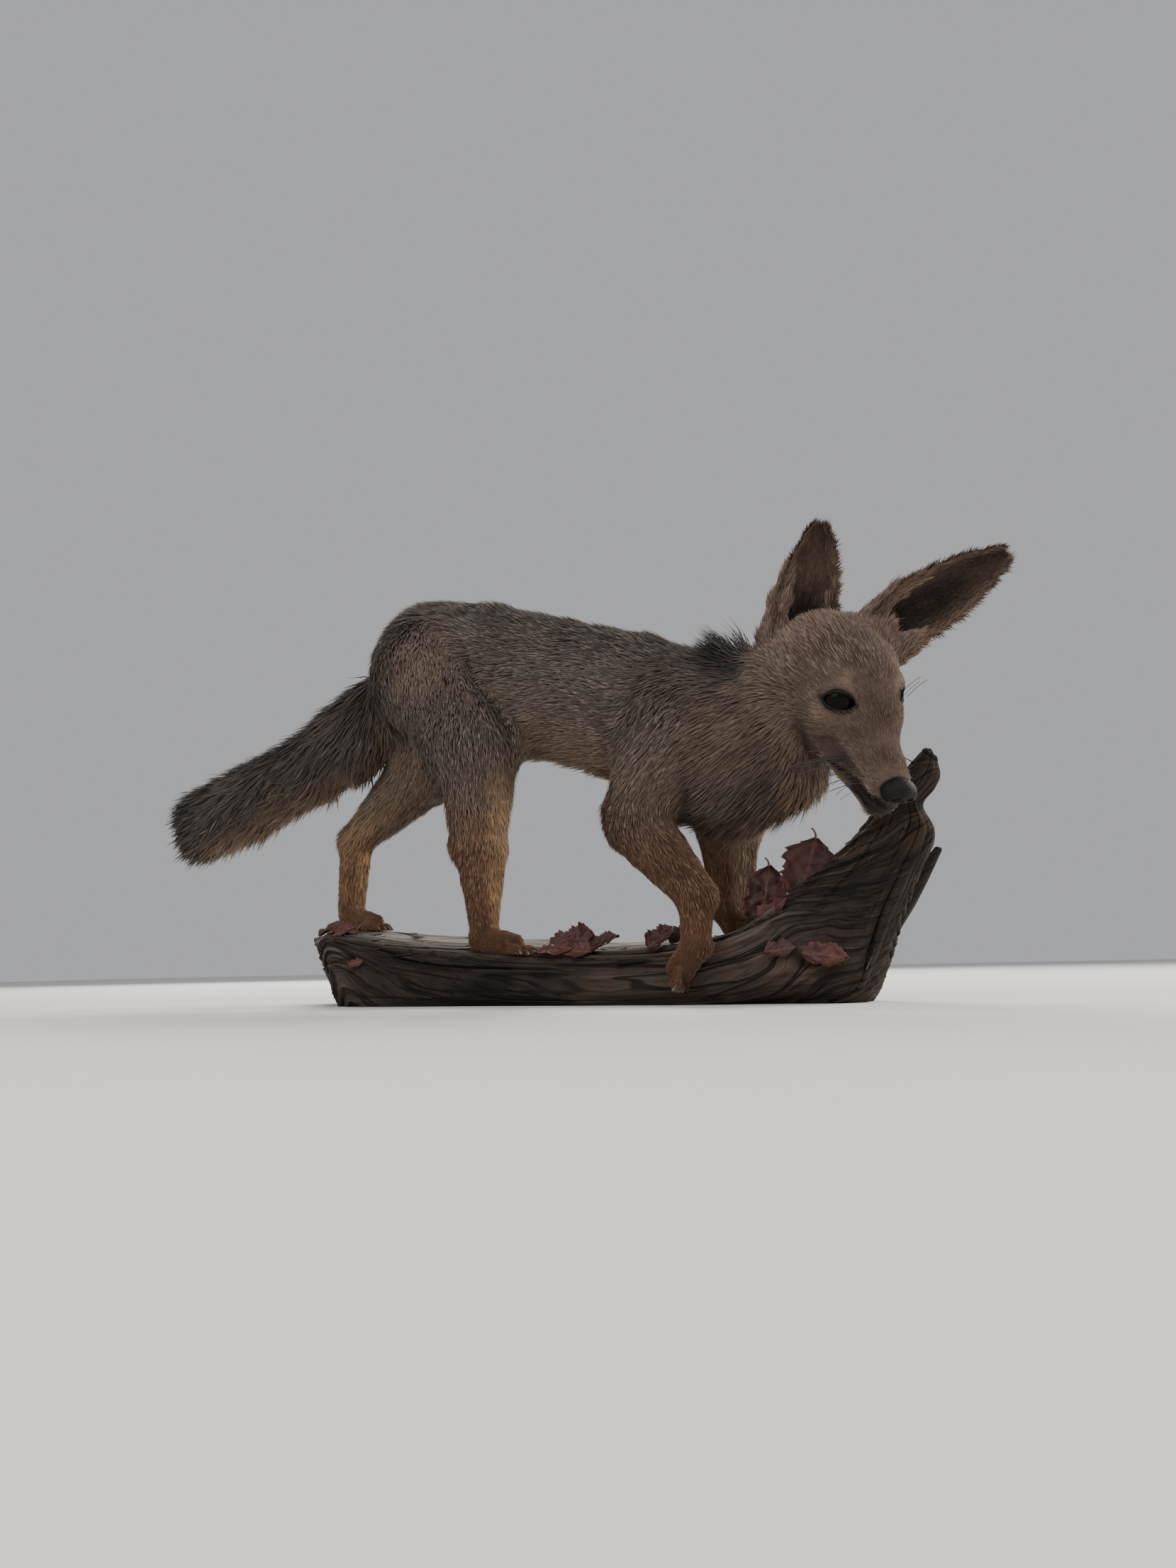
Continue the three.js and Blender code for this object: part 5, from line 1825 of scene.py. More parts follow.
# ------------------------------------------------------------------------------- ears
@dataclass
class EarShell:
    """One ear: a thin curled sheet with a rolled, ragged edge and short fur on both sides.

    back, inside and edge are how many tufts grow there.
    """

    name: str
    ear: Ear
    seed: int
    thickness: float = 2.0
    rows: int = 56
    columns: int = 33
    back: int = 5600
    inside: int = 4200
    edge: int = 2600

    def place(self, u: Array, v: Array, lift: Array | float = 0) -> Array:
        """A point of the hollow side.

        Args:
            u: from one edge, -1, to the other, 1.
            v: from the base, 0, to the tip, 1.
            lift: how far it stands off the sheet.

        Returns:
            (N, 3) in millimetres.
        """
        grid = np.stack([u * 0 + np.sign(u), v * 15, u * 0 + self.seed], 1)
        ragged = 1 + 0.05 * noise(grid, self.seed) * rise(0.5, 1.0, np.abs(u)) * rise(0.05, 0.3, v)
        roll = 1.6 * rise(0.78, 1.0, np.abs(u)) * rise(1.0, 0.8, v)
        fold = 1.3 * bell(u + 0.55, 0.14) * rise(0.75, 0.25, v) + 1.1 * bell(u - 0.4, 0.16) * rise(0.7, 0.2, v)
        depth = roll + fold + 0.5 * noise(np.stack([u * 3, v * 7, v * 0], 1), self.seed + 5) - 0.6
        return self.ear.sheet(u, v, ragged, depth + lift)

    def thick(self, u: Array, v: Array) -> Array:
        """The sheet's thickness: thin at the edges, with a soft rim."""
        return self.thickness * (1 - 0.45 * v) * (1 - 0.5 * u * u) + 0.25

    def shell(self) -> bpy.types.Object:
        """The closed sheet."""
        u, v = sheet_grid(self.rows, self.columns)
        front, back = self.place(u, v), self.place(u, v, -self.thick(u, v))
        points = np.concatenate([front, back])
        piece = new_mesh(self.name + "_shell", points, sheet_faces(self.rows, self.columns))
        mend(piece.data, cut=True)
        tone = np.concatenate([self.tone(u, v, True), self.tone(u, v, False)])
        paint(piece.data, marking=tone, bare=np.zeros(len(tone)))
        unwrap(piece.data, np.concatenate([self.unrolled(u, v, True), self.unrolled(u, v, False)]))
        return settle(piece, "ear", self.name, dress=Dress.EAR)

    @staticmethod
    def unrolled(u: Array, v: Array, front: bool) -> Array:
        """A point's place on the ear's unwrap."""
        return np.stack([0.02 + (u + 1) * 0.22 + (0 if front else 0.5), 0.02 + v * 0.95], 1)

    def tone(self, u: Array, v: Array, front: bool) -> Array:
        """The ear's colours: brown, with painted shade in its hollow, a paler rim, and dark brown behind."""
        made = np.tile(np.array(Tone.BRIDGE), (len(u), 1))
        if front:
            # painted shade: the hollow of the ear is painted near black
            hollow = bell(u - 0.1, 0.5) * rise(self.ear.hollow, self.ear.hollow - 0.5, v)
            made = mix(made, Tone.BLACK_AND_SHADE, np.minimum(hollow * 1.25, 1) * 0.92)
            made = mix(made, Tone.DARK, rise(0.6, 1.0, v) * 0.35)
            return mix(made, Tone.EAR_RIM, rise(0.86, 0.98, np.abs(u)) * rise(0.9, 0.6, v) * 0.8)
        made = mix(made, Tone.DARK, rise(0.35, 0.95, v) * 0.6)
        return mix(made, Tone.FACE, rise(0.35, 0.0, v))

    def fur(self) -> bpy.types.Object:
        """Short fur over the back, thin hair inside, and longer pale hair along the edges."""
        rng = np.random.default_rng(self.seed)
        back, inside, edge = self.back, self.inside, self.edge
        u = np.concatenate([rng.uniform(-1, 1, back), rng.uniform(-0.95, 0.95, inside), np.ones(edge)])
        v = np.concatenate([rng.uniform(0, 1, back), rng.uniform(0, 0.97, inside), rng.uniform(0, 0.99, edge)])
        u[back + inside:] = np.sign(rng.uniform(-1, 1, edge)) * rng.uniform(0.92, 1.0, edge)
        front = np.arange(len(u)) >= back
        front[back + inside:] = rng.uniform(0, 1, edge) < 0.5
        on_edge = np.arange(len(u)) >= back + inside
        offset = np.where(front, 0, -self.thick(u, v))
        points = self.place(u, v, offset)
        step = 0.01
        along = unit(self.place(u, np.minimum(v + step, 1), offset) - self.place(u, np.maximum(v - step, 0), offset))
        wide = unit(self.place(u + step, v, offset) - self.place(u - step, v, offset))
        normals = unit(np.cross(wide, along))
        out = self.ear.axes()[1]
        normals *= np.sign(normals @ out)[:, None] * np.where(front, 1, -1)[:, None]
        lie = unit(along + wide * (np.sign(u) * np.where(on_edge, 0.9, 0.15))[:, None])
        margin = 1 + 0.7 * rise(0.45, 0.95, np.abs(u)) * front
        length = np.where(on_edge, 6.4, 4.8 * margin) * rng.uniform(0.75, 1.35, len(u))
        tone = np.where(front[:, None], self.tone(u, v, True), self.tone(u, v, False))
        tone = mix(tone, Tone.EAR_RIM, on_edge * rise(0.8, 0.1, v) * 0.4)
        place = np.where(front[:, None], self.unrolled(u, v, True), self.unrolled(u, v, False))
        likely = np.where(on_edge, 0.5, np.where(front, 0.12, 0.22))
        tufts = Tufts(
            points, normals, lie, length, np.full(len(u), 0.62), np.where(on_edge, 0.2, 0.16),
            np.where(on_edge, 0.7, 0.25), tone, np.tile(np.array(Tone.STRAW), (len(u), 1)),
            (rng.uniform(0, 1, len(u)) < likely) * rng.uniform(0.4, 1, len(u)), place, sink=0.2,
        )
        return tufts.build(f"{self.name}_fur", rng, "ear")

    def build(self) -> None:
        """The shell and its fur."""
        self.shell()
        self.fur()


# ------------------------------------------------------------------------------- repeated pieces
class Kit:
    """A Geometry Nodes tree with named inputs, run over a mesh and turned into a plain mesh."""

    def __init__(self, name: str, inputs: dict[str, tuple[str, Any]]) -> None:
        """Starts a tree.

        Args:
            name: the tree's name.
            inputs: the socket type and the value of each named input.
        """
        self.group = bpy.data.node_groups.new(name, "GeometryNodeTree")
        face = self.group.interface
        face.new_socket("Geometry", in_out="INPUT", socket_type="NodeSocketGeometry")
        face.new_socket("Geometry", in_out="OUTPUT", socket_type="NodeSocketGeometry")
        self.values = {k: v for k, (_, v) in inputs.items()}
        self.ids = {
            k: face.new_socket(k, in_out="INPUT", socket_type=kind).identifier for k, (kind, _) in inputs.items()
        }
        self.graph = Graph(self.group)
        self.given = self.graph.node("NodeGroupInput")

    def input(self, name: str) -> Sock:
        """One named input."""
        return self.graph.out(self.given, name)

    def end(self, geometry: Sock) -> None:
        """Realizes the instances, sets the material and ends the tree."""
        g = self.graph
        whole = g.out(g.node("GeometryNodeRealizeInstances", {"Geometry": geometry}))
        dressed = g.node("GeometryNodeSetMaterial", {"Geometry": whole, "Material": self.input("Material")})
        g.node("NodeGroupOutput", {"Geometry": g.out(dressed)})

    def run(self, name: str, seeds: bpy.types.Object) -> bpy.types.Object:
        """Runs the tree over `seeds`, which it uses up, and returns a plain mesh object."""
        modifier = seeds.modifiers.new("kit", "NODES")
        modifier.node_group = self.group
        for key, value in self.values.items():
            modifier[self.ids[key]] = value
        graph = bpy.context.evaluated_depsgraph_get()
        mesh = bpy.data.meshes.new_from_object(seeds.evaluated_get(graph))
        mesh.name = name
        seeds.modifiers.remove(modifier)
        bpy.data.objects.remove(seeds)
        piece = bpy.data.objects.new(name, mesh)
        bpy.context.scene.collection.objects.link(piece)
        return piece


def seed_points(points: Array, aims: Array, reaches: Array, downs: Array | None = None) -> bpy.types.Object:
    """A mesh of loose points that carry the way to point, how far, and where the underside is."""
    seeds = new_mesh("seeds", points, [])
    for name, values in (("aim", aims), ("under", aims if downs is None else downs)):
        layer = seeds.data.attributes.new(name, "FLOAT_VECTOR", "POINT")
        layer.data.foreach_set("vector", np.ascontiguousarray(values, np.float32).ravel())
    paint(seeds.data, reach=np.asarray(reaches, float) * MM)
    return seeds


@dataclass
class Spikes:
    """Curved tapering spikes on points: whiskers, claws and splinters are all made so.

    thickness is the root's radius as a share of the spike's length.
    """

    name: str
    thickness: float
    bow: float
    steps: int
    sides: int
    blunt: float = 0.05

    def build(self, seeds: bpy.types.Object, material: bpy.types.Material) -> bpy.types.Object:
        """Places a spike on every seed point.

        Args:
            seeds: points with aim, under and reach.
            material: the spikes' finish.

        Returns:
            All the spikes as one object.
        """
        kit = Kit(self.name + "_tree", {
            "Thickness": ("NodeSocketFloat", self.thickness),
            "Bow": ("NodeSocketFloat", self.bow),
            "Blunt": ("NodeSocketFloat", self.blunt),
            "Steps": ("NodeSocketInt", self.steps),
            "Sides": ("NodeSocketInt", self.sides),
            "Material": ("NodeSocketMaterial", material),
        })
        g = kit.graph
        end = g.out(g.node("ShaderNodeCombineXYZ", {0: kit.input("Bow"), 1: 0.0, 2: 1.0}))
        curve = g.node(
            "GeometryNodeCurveQuadraticBezier",
            {"Resolution": kit.input("Steps"), "Start": (0, 0, 0), "Middle": (0, 0, 0.55), "End": end},
        )
        strand = g.out(g.node("GeometryNodeSplineParameter"), "Factor")
        stored = g.node(
            "GeometryNodeStoreNamedAttribute", {"Geometry": g.out(curve), "Name": "strand", "Value": strand},
            data_type="FLOAT", domain="POINT",
        )
        taper = 1 - strand * (1 - kit.input("Blunt"))
        thin = g.node("GeometryNodeSetCurveRadius", {"Curve": g.out(stored), "Radius": taper})
        ring = {"Resolution": kit.input("Sides"), "Radius": kit.input("Thickness")}
        circle = g.node("GeometryNodeCurvePrimitiveCircle", ring)
        swept = g.node(
            "GeometryNodeCurveToMesh",
            {"Curve": g.out(thin), "Profile Curve": g.out(circle), "Fill Caps": True, "Scale": 1.0},
        )
        reach = g.out(g.node("GeometryNodeInputNamedAttribute", {"Name": "reach"}, data_type="FLOAT"))
        aim = g.out(g.node("GeometryNodeInputNamedAttribute", {"Name": "aim"}, data_type="FLOAT_VECTOR"))
        under = g.out(g.node("GeometryNodeInputNamedAttribute", {"Name": "under"}, data_type="FLOAT_VECTOR"))
        upright = g.out(g.node("FunctionNodeAlignRotationToVector", {"Vector": aim}, axis="Z"))
        turned = g.node(
            "FunctionNodeAlignRotationToVector", {"Rotation": upright, "Vector": under}, axis="X", pivot_axis="Z"
        )
        placed = g.node(
            "GeometryNodeInstanceOnPoints",
            {"Points": kit.input("Geometry"), "Instance": g.out(swept), "Rotation": g.out(turned),
             "Scale": g.out(g.node("ShaderNodeCombineXYZ", {0: reach, 1: reach, 2: reach}))},
        )
        kit.end(g.out(placed))
        return kit.run(self.name, seeds)


@dataclass
class Whiskers:
    """Dark whiskers on both sides of the muzzle, over the eyes and under the chin."""

    seed: int = 5
    rows: int = 3
    in_row: int = 5

    def build(self) -> bpy.types.Object:
        """Sets them out on the head's axes."""
        rng = np.random.default_rng(self.seed)
        at, aim, reach = [], [], []
        for sign in (1, -1):
            for row in range(self.rows):
                for i in range(self.in_row):
                    t = i / (self.in_row - 1)
                    at.append((46 - 24 * t, sign * (13.2 + 2.6 * t), -22 - 2.6 * row - 2.5 * t))
                    aim.append((-0.42 + rng.normal(0, 0.1), sign * (0.85 + 0.1 * row), -0.34 - 0.1 * row))
                    reach.append(rng.uniform(20, 34) * (0.7 + 0.5 * t))
            for i in range(3):
                at.append((9 - 3 * i, sign * 18.5, 13 - i))
                aim.append((-0.25, sign * 0.45, 0.85))
                reach.append(rng.uniform(13, 18))
            for i in range(3):
                at.append((38 - 6 * i, sign * 6, -43.5))
                aim.append((-0.35 + rng.normal(0, 0.1), sign * 0.35, -0.8))
                reach.append(rng.uniform(9, 14))
        turn = HEAD.turn()
        roots, aims = HEAD.outward(at), unit(np.array(aim)) @ turn.T
        aims = unit(aims * np.where(aims[:, 1:2] < 0, (1, 0.25, 1), 1.0))
        seeds = seed_points(roots, aims, np.array(reach), np.tile((0.2, 0, -1), (len(at), 1)))
        piece = Spikes("whiskers", 0.0115, 0.16, 7, 4).build(seeds, Dress.WHISKER.material())
        return settle(piece, "nose")


@dataclass
class Claws:
    """A curved dark claw on every toe."""

    length: float = 5.6

    def build(self, form: Form) -> bpy.types.Object:
        """Sets a claw at the end of each toe."""
        ends = np.array([t.end + unit(t.end - t.start) * 1.8 + np.array([0, 0, 0.6]) for t in form.toes])
        aims = np.array([unit(t.end - t.start) * 0.85 + np.array([0, 0, -0.2]) for t in form.toes])
        down = np.tile((0.0, 0.0, -1.0), (len(ends), 1))
        down[np.abs(unit(aims)[:, 2]) > 0.8] = (-1.0, 0, 0)
        seeds = seed_points(ends, unit(aims), np.full(len(ends), self.length), down)
        piece = Spikes("claws", 0.17, 0.34, 7, 8, 0.12).build(seeds, Dress.CLAW.material())
        return settle(piece, "nose")


# ------------------------------------------------------------------------------- driftwood
@dataclass(frozen=True)
class Station:
    """One section of the wood: a centre, two half-axes and how square it is."""

    centre: Triple
    across: Triple
    up: Triple
    square: float


def log_station(
    x: float, front: float, back: float, top_front: float, top_back: float, skew: float, lean: float
) -> Station:
    """A section of the lying log, from its faces and the heights of its top."""
    middle = (top_front + top_back) / 4
    return Station(
        (x + skew / 2, (front + back) / 2, middle), (skew / 2, (back - front) / 2, (top_back - top_front) / 4),
        (lean, 0, middle * 1.02), 2.4,
    )


def horn_station(
    left: tuple[float, float], right: tuple[float, float], y: float, half: float, square: float
) -> Station:
    """A section of the rising root end, from its upper left edge to its lower right edge."""
    return Station(
        ((left[0] + right[0]) / 2, y, (left[1] + right[1]) / 2), (0, half, 0),
        ((left[0] - right[0]) / 2, 0, (left[1] - right[1]) / 2), square,
    )


@dataclass
class Driftwood:
    """The weathered log that carries the fox, its rising root end and a long splinter.

    LOG and HORN hold what log_station and horn_station take, and SPLINTER middles and half-widths.
    """

    rings: int = 330
    around: int = 230
    girth: float = 44
    cap_rings: Sequence[float] = (0.97, 0.9, 0.78, 0.62, 0.45, 0.28, 0.12)

    LOG = (
        (-222, -40, 42, 44, 60, -66, -12), (-206, -50, 48, 50, 69, -52, -16), (-182, -53, 49, 48, 67, -34, -12),
        (-150, -54, 48, 43, 62, -14, -5), (-100, -54, 46, 38, 57, 0, 0), (-60, -53, 44, 36, 55, 0, 0),
        (12, -52, 43, 32, 51, 0, 0), (50, -51, 43, 33, 52, 0, 0), (90, -49, 42, 38, 55, 0, 0),
        (112, -47, 42, 44, 58, 0, 0),
    )
    HORN = (
        ((128, 58), (150, -1), -2, 43, 2.0), ((145, 69), (195, 0), -2, 40, 1.9),
        ((163, 83), (211, 25), -3, 34, 1.6), ((182, 98), (222, 52), -4, 28, 1.4),
        ((200, 116), (235, 80), -5, 22, 1.3), ((213, 131), (249, 115), -7, 17, 1.3),
        ((223, 144), (243, 132), -8, 13, 1.3), ((232, 154), (252, 143), -9, 12, 1.2),
        ((240, 163), (256, 152), -9, 11, 1.1), ((245, 168), (255, 160), -9, 7, 1),
    )
    SPLINTER = (
        ((211, 2, 38), 4), ((217, 4, 51), 4.5), ((226, 6, 66), 5), ((237, 7, 84), 4.5), ((249, 8, 102), 2.5),
    )

    @staticmethod
    def between(rows: Array, count: int) -> tuple[Array, Array]:
        """Rows of numbers, carried smoothly from each to the next.

        Args:
            rows: (N, K), with the centre in the first three columns.
            count: rows wanted.

        Returns:
            (count, K), and how far along the middle line each is.
        """
        gaps = lengths(np.diff(rows[:, :3], axis=0))
        at = np.concatenate([[0], np.cumsum(gaps)])
        slopes = np.gradient(rows, at, axis=0)
        where = np.linspace(0, at[-1], count)
        i = np.clip(np.searchsorted(at, where, side="right") - 1, 0, len(at) - 2)
        h = (at[i + 1] - at[i])[:, None]
        t = ((where - at[i]) / h[:, 0])[:, None]
        made = (
            (2 * t**3 - 3 * t**2 + 1) * rows[i] + (t**3 - 2 * t**2 + t) * h * slopes[i]
            + (3 * t**2 - 2 * t**3) * rows[i + 1] + (t**3 - t**2) * h * slopes[i + 1]
        )
        return made, where

    def weathered(self, along: Array, round_: Array, angle: Array, seed: int, size: float) -> Array:
        """How far the wood stands out or is sunk in by weathering, from its grain.

        Args:
            along: place along the grain, in millimetres.
            round_: place round the section, in millimetres.
            angle: the same as an angle, from 0 to 2 pi.
            seed: picks the grain.
            size: scales all of it.

        Returns:
            (N,) in millimetres.
        """
        def grain(long: float, broad: float, which: int) -> Array:
            """Noise drawn out along the grain, closed round the section."""
            ring = [along / long, np.cos(angle) * self.girth / broad, np.sin(angle) * self.girth / broad]
            return noise(np.stack(ring, 1), seed + which)

        wander = 7 * grain(150, 60, 1)
        ledges = (round_ + wander) / 11
        step = ledges - np.floor(ledges)
        layered = (rise(0.0, 0.9, step) - rise(0.9, 1.0, step)) * 2.4 * rise(-0.35, 0.35, grain(110, 26, 2))
        broad = 1.9 * grain(95, 30, 3) + 1.0 * grain(45, 11, 4)
        fibres = 0.65 * grain(70, 3.0, 5) + 0.40 * grain(34, 1.5, 6)
        checks = -5.0 * bell(grain(190, 15, 7), 0.045) * rise(-0.2, 0.2, grain(90, 24, 8))
        checks -= 3.0 * bell(grain(120, 8, 9), 0.055) * rise(-0.05, 0.3, grain(60, 16, 10))
        return (layered + broad + fibres + checks) * size

    def loft(
        self, name: str, stations: Array, rings: int, around: int, seed: int, size: float,
        domes: tuple[float, float] = (-2.5, 5.5),
    ) -> bpy.types.Object:
        """A closed loft through stations, with weathered grain and broken ends.

        Args:
            name: the piece's name.
            stations: rows of centre, across, up and squareness.
            rings: sections along it.
            around: points round it.
            seed: picks the grain.
            size: scales the wear.
            domes: how far each end swells, or is sunk.

        Returns:
            The piece, not yet dressed.
        """
        rows, where = self.between(stations, rings)
        angle = np.arange(around) / around * 2 * math.pi
        power = 1 / rows[:, 9:10]
        c, s = np.cos(angle)[None], np.sin(angle)[None]
        cs = (np.sign(c) * np.abs(c) ** power)[..., None]
        sn = (np.sign(s) * np.abs(s) ** power)[..., None]
        centre, across, up = rows[:, None, 0:3], rows[:, None, 3:6], rows[:, None, 6:9]
        outward = across * cs + up * sn
        plain = centre + outward
        edge = np.linalg.norm(np.roll(plain, -1, 1) - plain, axis=2)
        round_ = np.cumsum(edge, 1)
        along = np.broadcast_to(where[:, None], round_.shape)
        flat = (along.ravel(), round_.ravel(), np.broadcast_to(angle, round_.shape).ravel())
        worn = self.weathered(*flat, seed, size).reshape(round_.shape)
        ahead = unit(np.gradient(rows[:, :3], axis=0))[:, None]
        normal = unit(np.cross(np.roll(plain, -1, 1) - np.roll(plain, 1, 1), ahead))
        normal *= np.sign((normal * outward).sum(2, keepdims=True))
        thin = np.minimum(np.linalg.norm(across, axis=2), np.linalg.norm(up, axis=2)) / 22
        worn = worn * np.clip(thin, 0.12, 1)
        made = plain + normal * (worn - 0.5 * size)[..., None]
        made = made + self.hollow(made, normal) * (size > 0.5)
        # painted light: upward faces are painted lighter and the front and underside darker, on top of the wear
        wear_plus_painted_toplight = worn + (1.7 * normal[..., 2] - 0.9) * size
        points, wear = [], []
        for end, flip, dome in ((0, -1, domes[0]), (-1, 1, domes[1])):
            cap, marks = [], []
            for share in self.cap_rings:
                inner = centre[end] + (made[end] - centre[end]) * share
                rough = noise(inner / np.array([9, 5, 3]), seed + 20) * 2.2 + noise(inner / 2.5, seed + 21) * 0.7
                swell = rough * (1 - share) * 1.4 + dome * math.sqrt(1 - share**2)
                cap.append(inner + ahead[end] * flip * swell[:, None] * size)
                marks.append((rough - 1.2) * size)
            points.append(cap)
            wear.append(marks)
        body = [*points[0][::-1], *made, *points[1]]
        lower = [*wear[0][::-1], *wear_plus_painted_toplight, *wear[1]]
        spots = np.concatenate(body)
        spots[:, 2] = np.maximum(spots[:, 2], 0)
        lows = np.concatenate(lower)
        count = len(body)
        faces = ring_faces(count, around)
        hubs = np.array([spots[:around].mean(0), spots[-around:].mean(0)])
        first = len(spots)
        faces += [(first, (i + 1) % around, i) for i in range(around)]
        last = (count - 1) * around
        faces += [(first + 1, last + i, last + (i + 1) % around) for i in range(around)]
        piece = new_mesh(name, np.concatenate([spots, hubs]), faces)
        mend(piece.data)
        pad = len(self.cap_rings)
        growth = np.repeat(np.array(self.cap_rings)[:, None] * 45 + 300, around, axis=1)
        sway = np.repeat(20 * np.sin(angle)[None], pad, axis=0)
        long_all = np.concatenate([*(sway + where[0]), *along, *(sway + where[-1])])
        ring_all = np.concatenate([*growth[::-1], *round_, *growth])
        extra = np.zeros(2)
        paint(
            piece.data, along=np.concatenate([long_all, extra]) * MM,
            around=np.concatenate([ring_all, extra]) * MM,
            worn=np.clip(np.concatenate([0.45 + lows / (6.5 * size), extra]), 0, 1),
        )
        return piece

    @staticmethod
    def hollow(points: Array, normal: Array) -> Array:
        """Two long hollows, weathered down the front of the root end."""
        flat = points.reshape(-1, 3)
        first = segment_distance(flat, (175, -38, 20), (232, -22, 112))
        second = segment_distance(flat, (128, -46, 28), (196, -30, 92))
        front = rise(0.1, 0.8, -normal.reshape(-1, 3)[:, 1])
        depth = (4.2 * bell(first, 8) + 2.6 * bell(second, 7)) * front
        return (-normal.reshape(-1, 3) * depth[:, None]).reshape(points.shape)

    def build(self) -> None:
        """The log with its root end, the splinter and the small slivers."""
        stations = [log_station(*row) for row in self.LOG] + [horn_station(*row) for row in self.HORN]
        rows = np.array([(*s.centre, *s.across, *s.up, s.square) for s in stations], float)
        wood = self.loft("driftwood", rows, self.rings, self.around, 31, 1.0)
        settle(wood, "driftwood", "driftwood_log", "driftwood_horn", dress=Dress.WOOD)
        thin = [(*at, h, 0, -0.6 * h, 0, 1.4 * h, 0, 1.0) for at, h in self.SPLINTER]
        splinter = self.loft("driftwood_long_splinter", np.array(thin, float), 60, 40, 57, 0.5)
        settle(splinter, "driftwood", "driftwood_splinter", dress=Dress.WOOD)
        self.slivers(wood)

    def slivers(
        self, wood: bpy.types.Object, count: int = 150, seed: int = 9, lowest: float = 14
    ) -> bpy.types.Object:
        """Small raised slivers of grain, along the log's front and top."""
        rng = np.random.default_rng(seed)
        points = mesh_points(wood.data)
        normals = vertex_vectors(wood.data, "normal")
        body = points[: self.around * self.rings]
        usable = np.flatnonzero((body[:, 2] > lowest) & (np.abs(normals[: len(body), 0]) < 0.6))
        pick = rng.choice(usable[usable > self.around * 10], count, replace=False)
        ahead = unit(points[np.minimum(pick + self.around * 3, len(points) - 3)] - points[pick])
        aims = unit(ahead * np.sign(rng.uniform(-1, 1, count))[:, None] + normals[pick] * 0.12)
        seeds = seed_points(points[pick] - normals[pick] * 0.3, aims, rng.uniform(5, 15, count), normals[pick])
        piece = Spikes("driftwood_slivers", 0.04, 0.03, 4, 4, 0.1).build(seeds, Dress.WOOD.material())
        where = mesh_points(piece.data)
        where[:, 2] = np.maximum(where[:, 2], 0.1)
        move_points(piece.data, where)
        paint(piece.data, along=where[:, 0] * MM, around=where[:, 2] * MM, worn=np.full(len(where), 0.7))
        return settle(piece, "driftwood")


# ------------------------------------------------------------------------------- leaves
@dataclass
class Leaf:
    """A dried leaf: a thin curled blade with toothed lobes, veins and a stem.

    at is where it starts, up runs to its far end and out is the way its hollow side faces. stem is
    the length of the stalk at the far end, and node says whether it stands for a node of its name.
    """

    name: str
    at: Triple
    up: Triple
    out: Triple
    length: float
    half_width: float
    node: bool = True
    stem: float = 0
    rows: int = 46
    columns: int = 25
    thickness: float = 0.45

    def build(self) -> bpy.types.Object:
        """Makes the blade and its stem as one piece."""
        seed = sum(map(ord, self.name))
        along = unit(np.array(self.up, float))
        facing = np.array(self.out, float)
        facing = unit(facing - along * (facing @ along))
        across = np.cross(along, facing)
        u, v = sheet_grid(self.rows, self.columns)
        side = np.sign(u) * np.ceil(np.abs(u))
        lobes = 1 + 0.20 * np.sin(v * 3.2 * math.pi) + 0.20 * noise(np.stack([v * 5, side, v * 0], 1), seed)
        saw = v * 7.5 + side * 0.2 + 0.7 * noise(np.stack([v * 4, side, v * 0], 1), seed + 4)
        teeth = 1 - 0.19 * (saw - np.floor(saw)) * rise(0.5, 1.0, np.abs(u))
        width = self.half_width * (0.12 + 0.88 * np.sin(math.pi * v**0.8).clip(0, 1) ** 0.8) * lobes * teeth
        cup = width * 0.45 * u * u + self.length * (0.16 * (v - 0.4) ** 2 + 0.05 * u * np.sin(v * 5 + seed))
        branch = (v - 0.32 * np.abs(u)) * 5.2
        near_branch = np.abs(branch - np.round(branch)) / 5.2 * self.length
        vein = np.maximum(bell(u * width, 0.7), 0.7 * bell(near_branch, 0.5) * rise(0.02, 0.2, v))
        spot = np.stack([u * self.half_width / 6, v * self.length / 6, u * 0 + seed], 1)
        crinkle = 1.9 * noise(spot, seed + 1) + 0.6 * noise(spot * 2.6, seed + 2)
        lift = cup + crinkle * np.minimum(1, self.half_width / 12) + 0.3 * vein
        lift = lift + 0.8 * np.sign(u) * bell(np.abs(u) - 1, 0.25)
        middle = np.array(self.at) + along * (self.length * v)[:, None] + across * (width * u)[:, None]
        front = middle + facing * lift[:, None]
        back = front - facing * self.thickness
        faces = sheet_faces(self.rows, self.columns)
        points, veins = np.concatenate([front, back]), np.concatenate([vein, vein])
        edge = np.tile(rise(0.86, 1.0, np.abs(u)), 2)
        if self.stem:
            t = np.linspace(0, 1, 9)[:, None]
            hook = across * (np.square(t) * self.stem * 0.45 * np.sign(noise(np.array([[seed * 0.37, 0, 0]]), 2)))
            path = np.array(self.at) + along * (self.length * 0.97 + self.stem * t * (1 - 0.3 * t)) + hook
            path = path + facing * (lift[-1])
            stalk, stalk_faces = tube(path, np.linspace(0.9, 0.55, 9), 7, closed=False)
            faces += [tuple(i + len(points) for i in f) for f in stalk_faces]
            points = np.concatenate([points, stalk])
            veins = np.concatenate([veins, np.ones(len(stalk))])
            edge = np.concatenate([edge, np.ones(len(stalk))])
        piece = new_mesh(self.name + "_blade", points, faces)
        mend(piece.data)
        paint(piece.data, vein=veins, rim=edge)
        return settle(piece, "dried_leaf", *([self.name] if self.node else []), dress=Dress.LEAF)


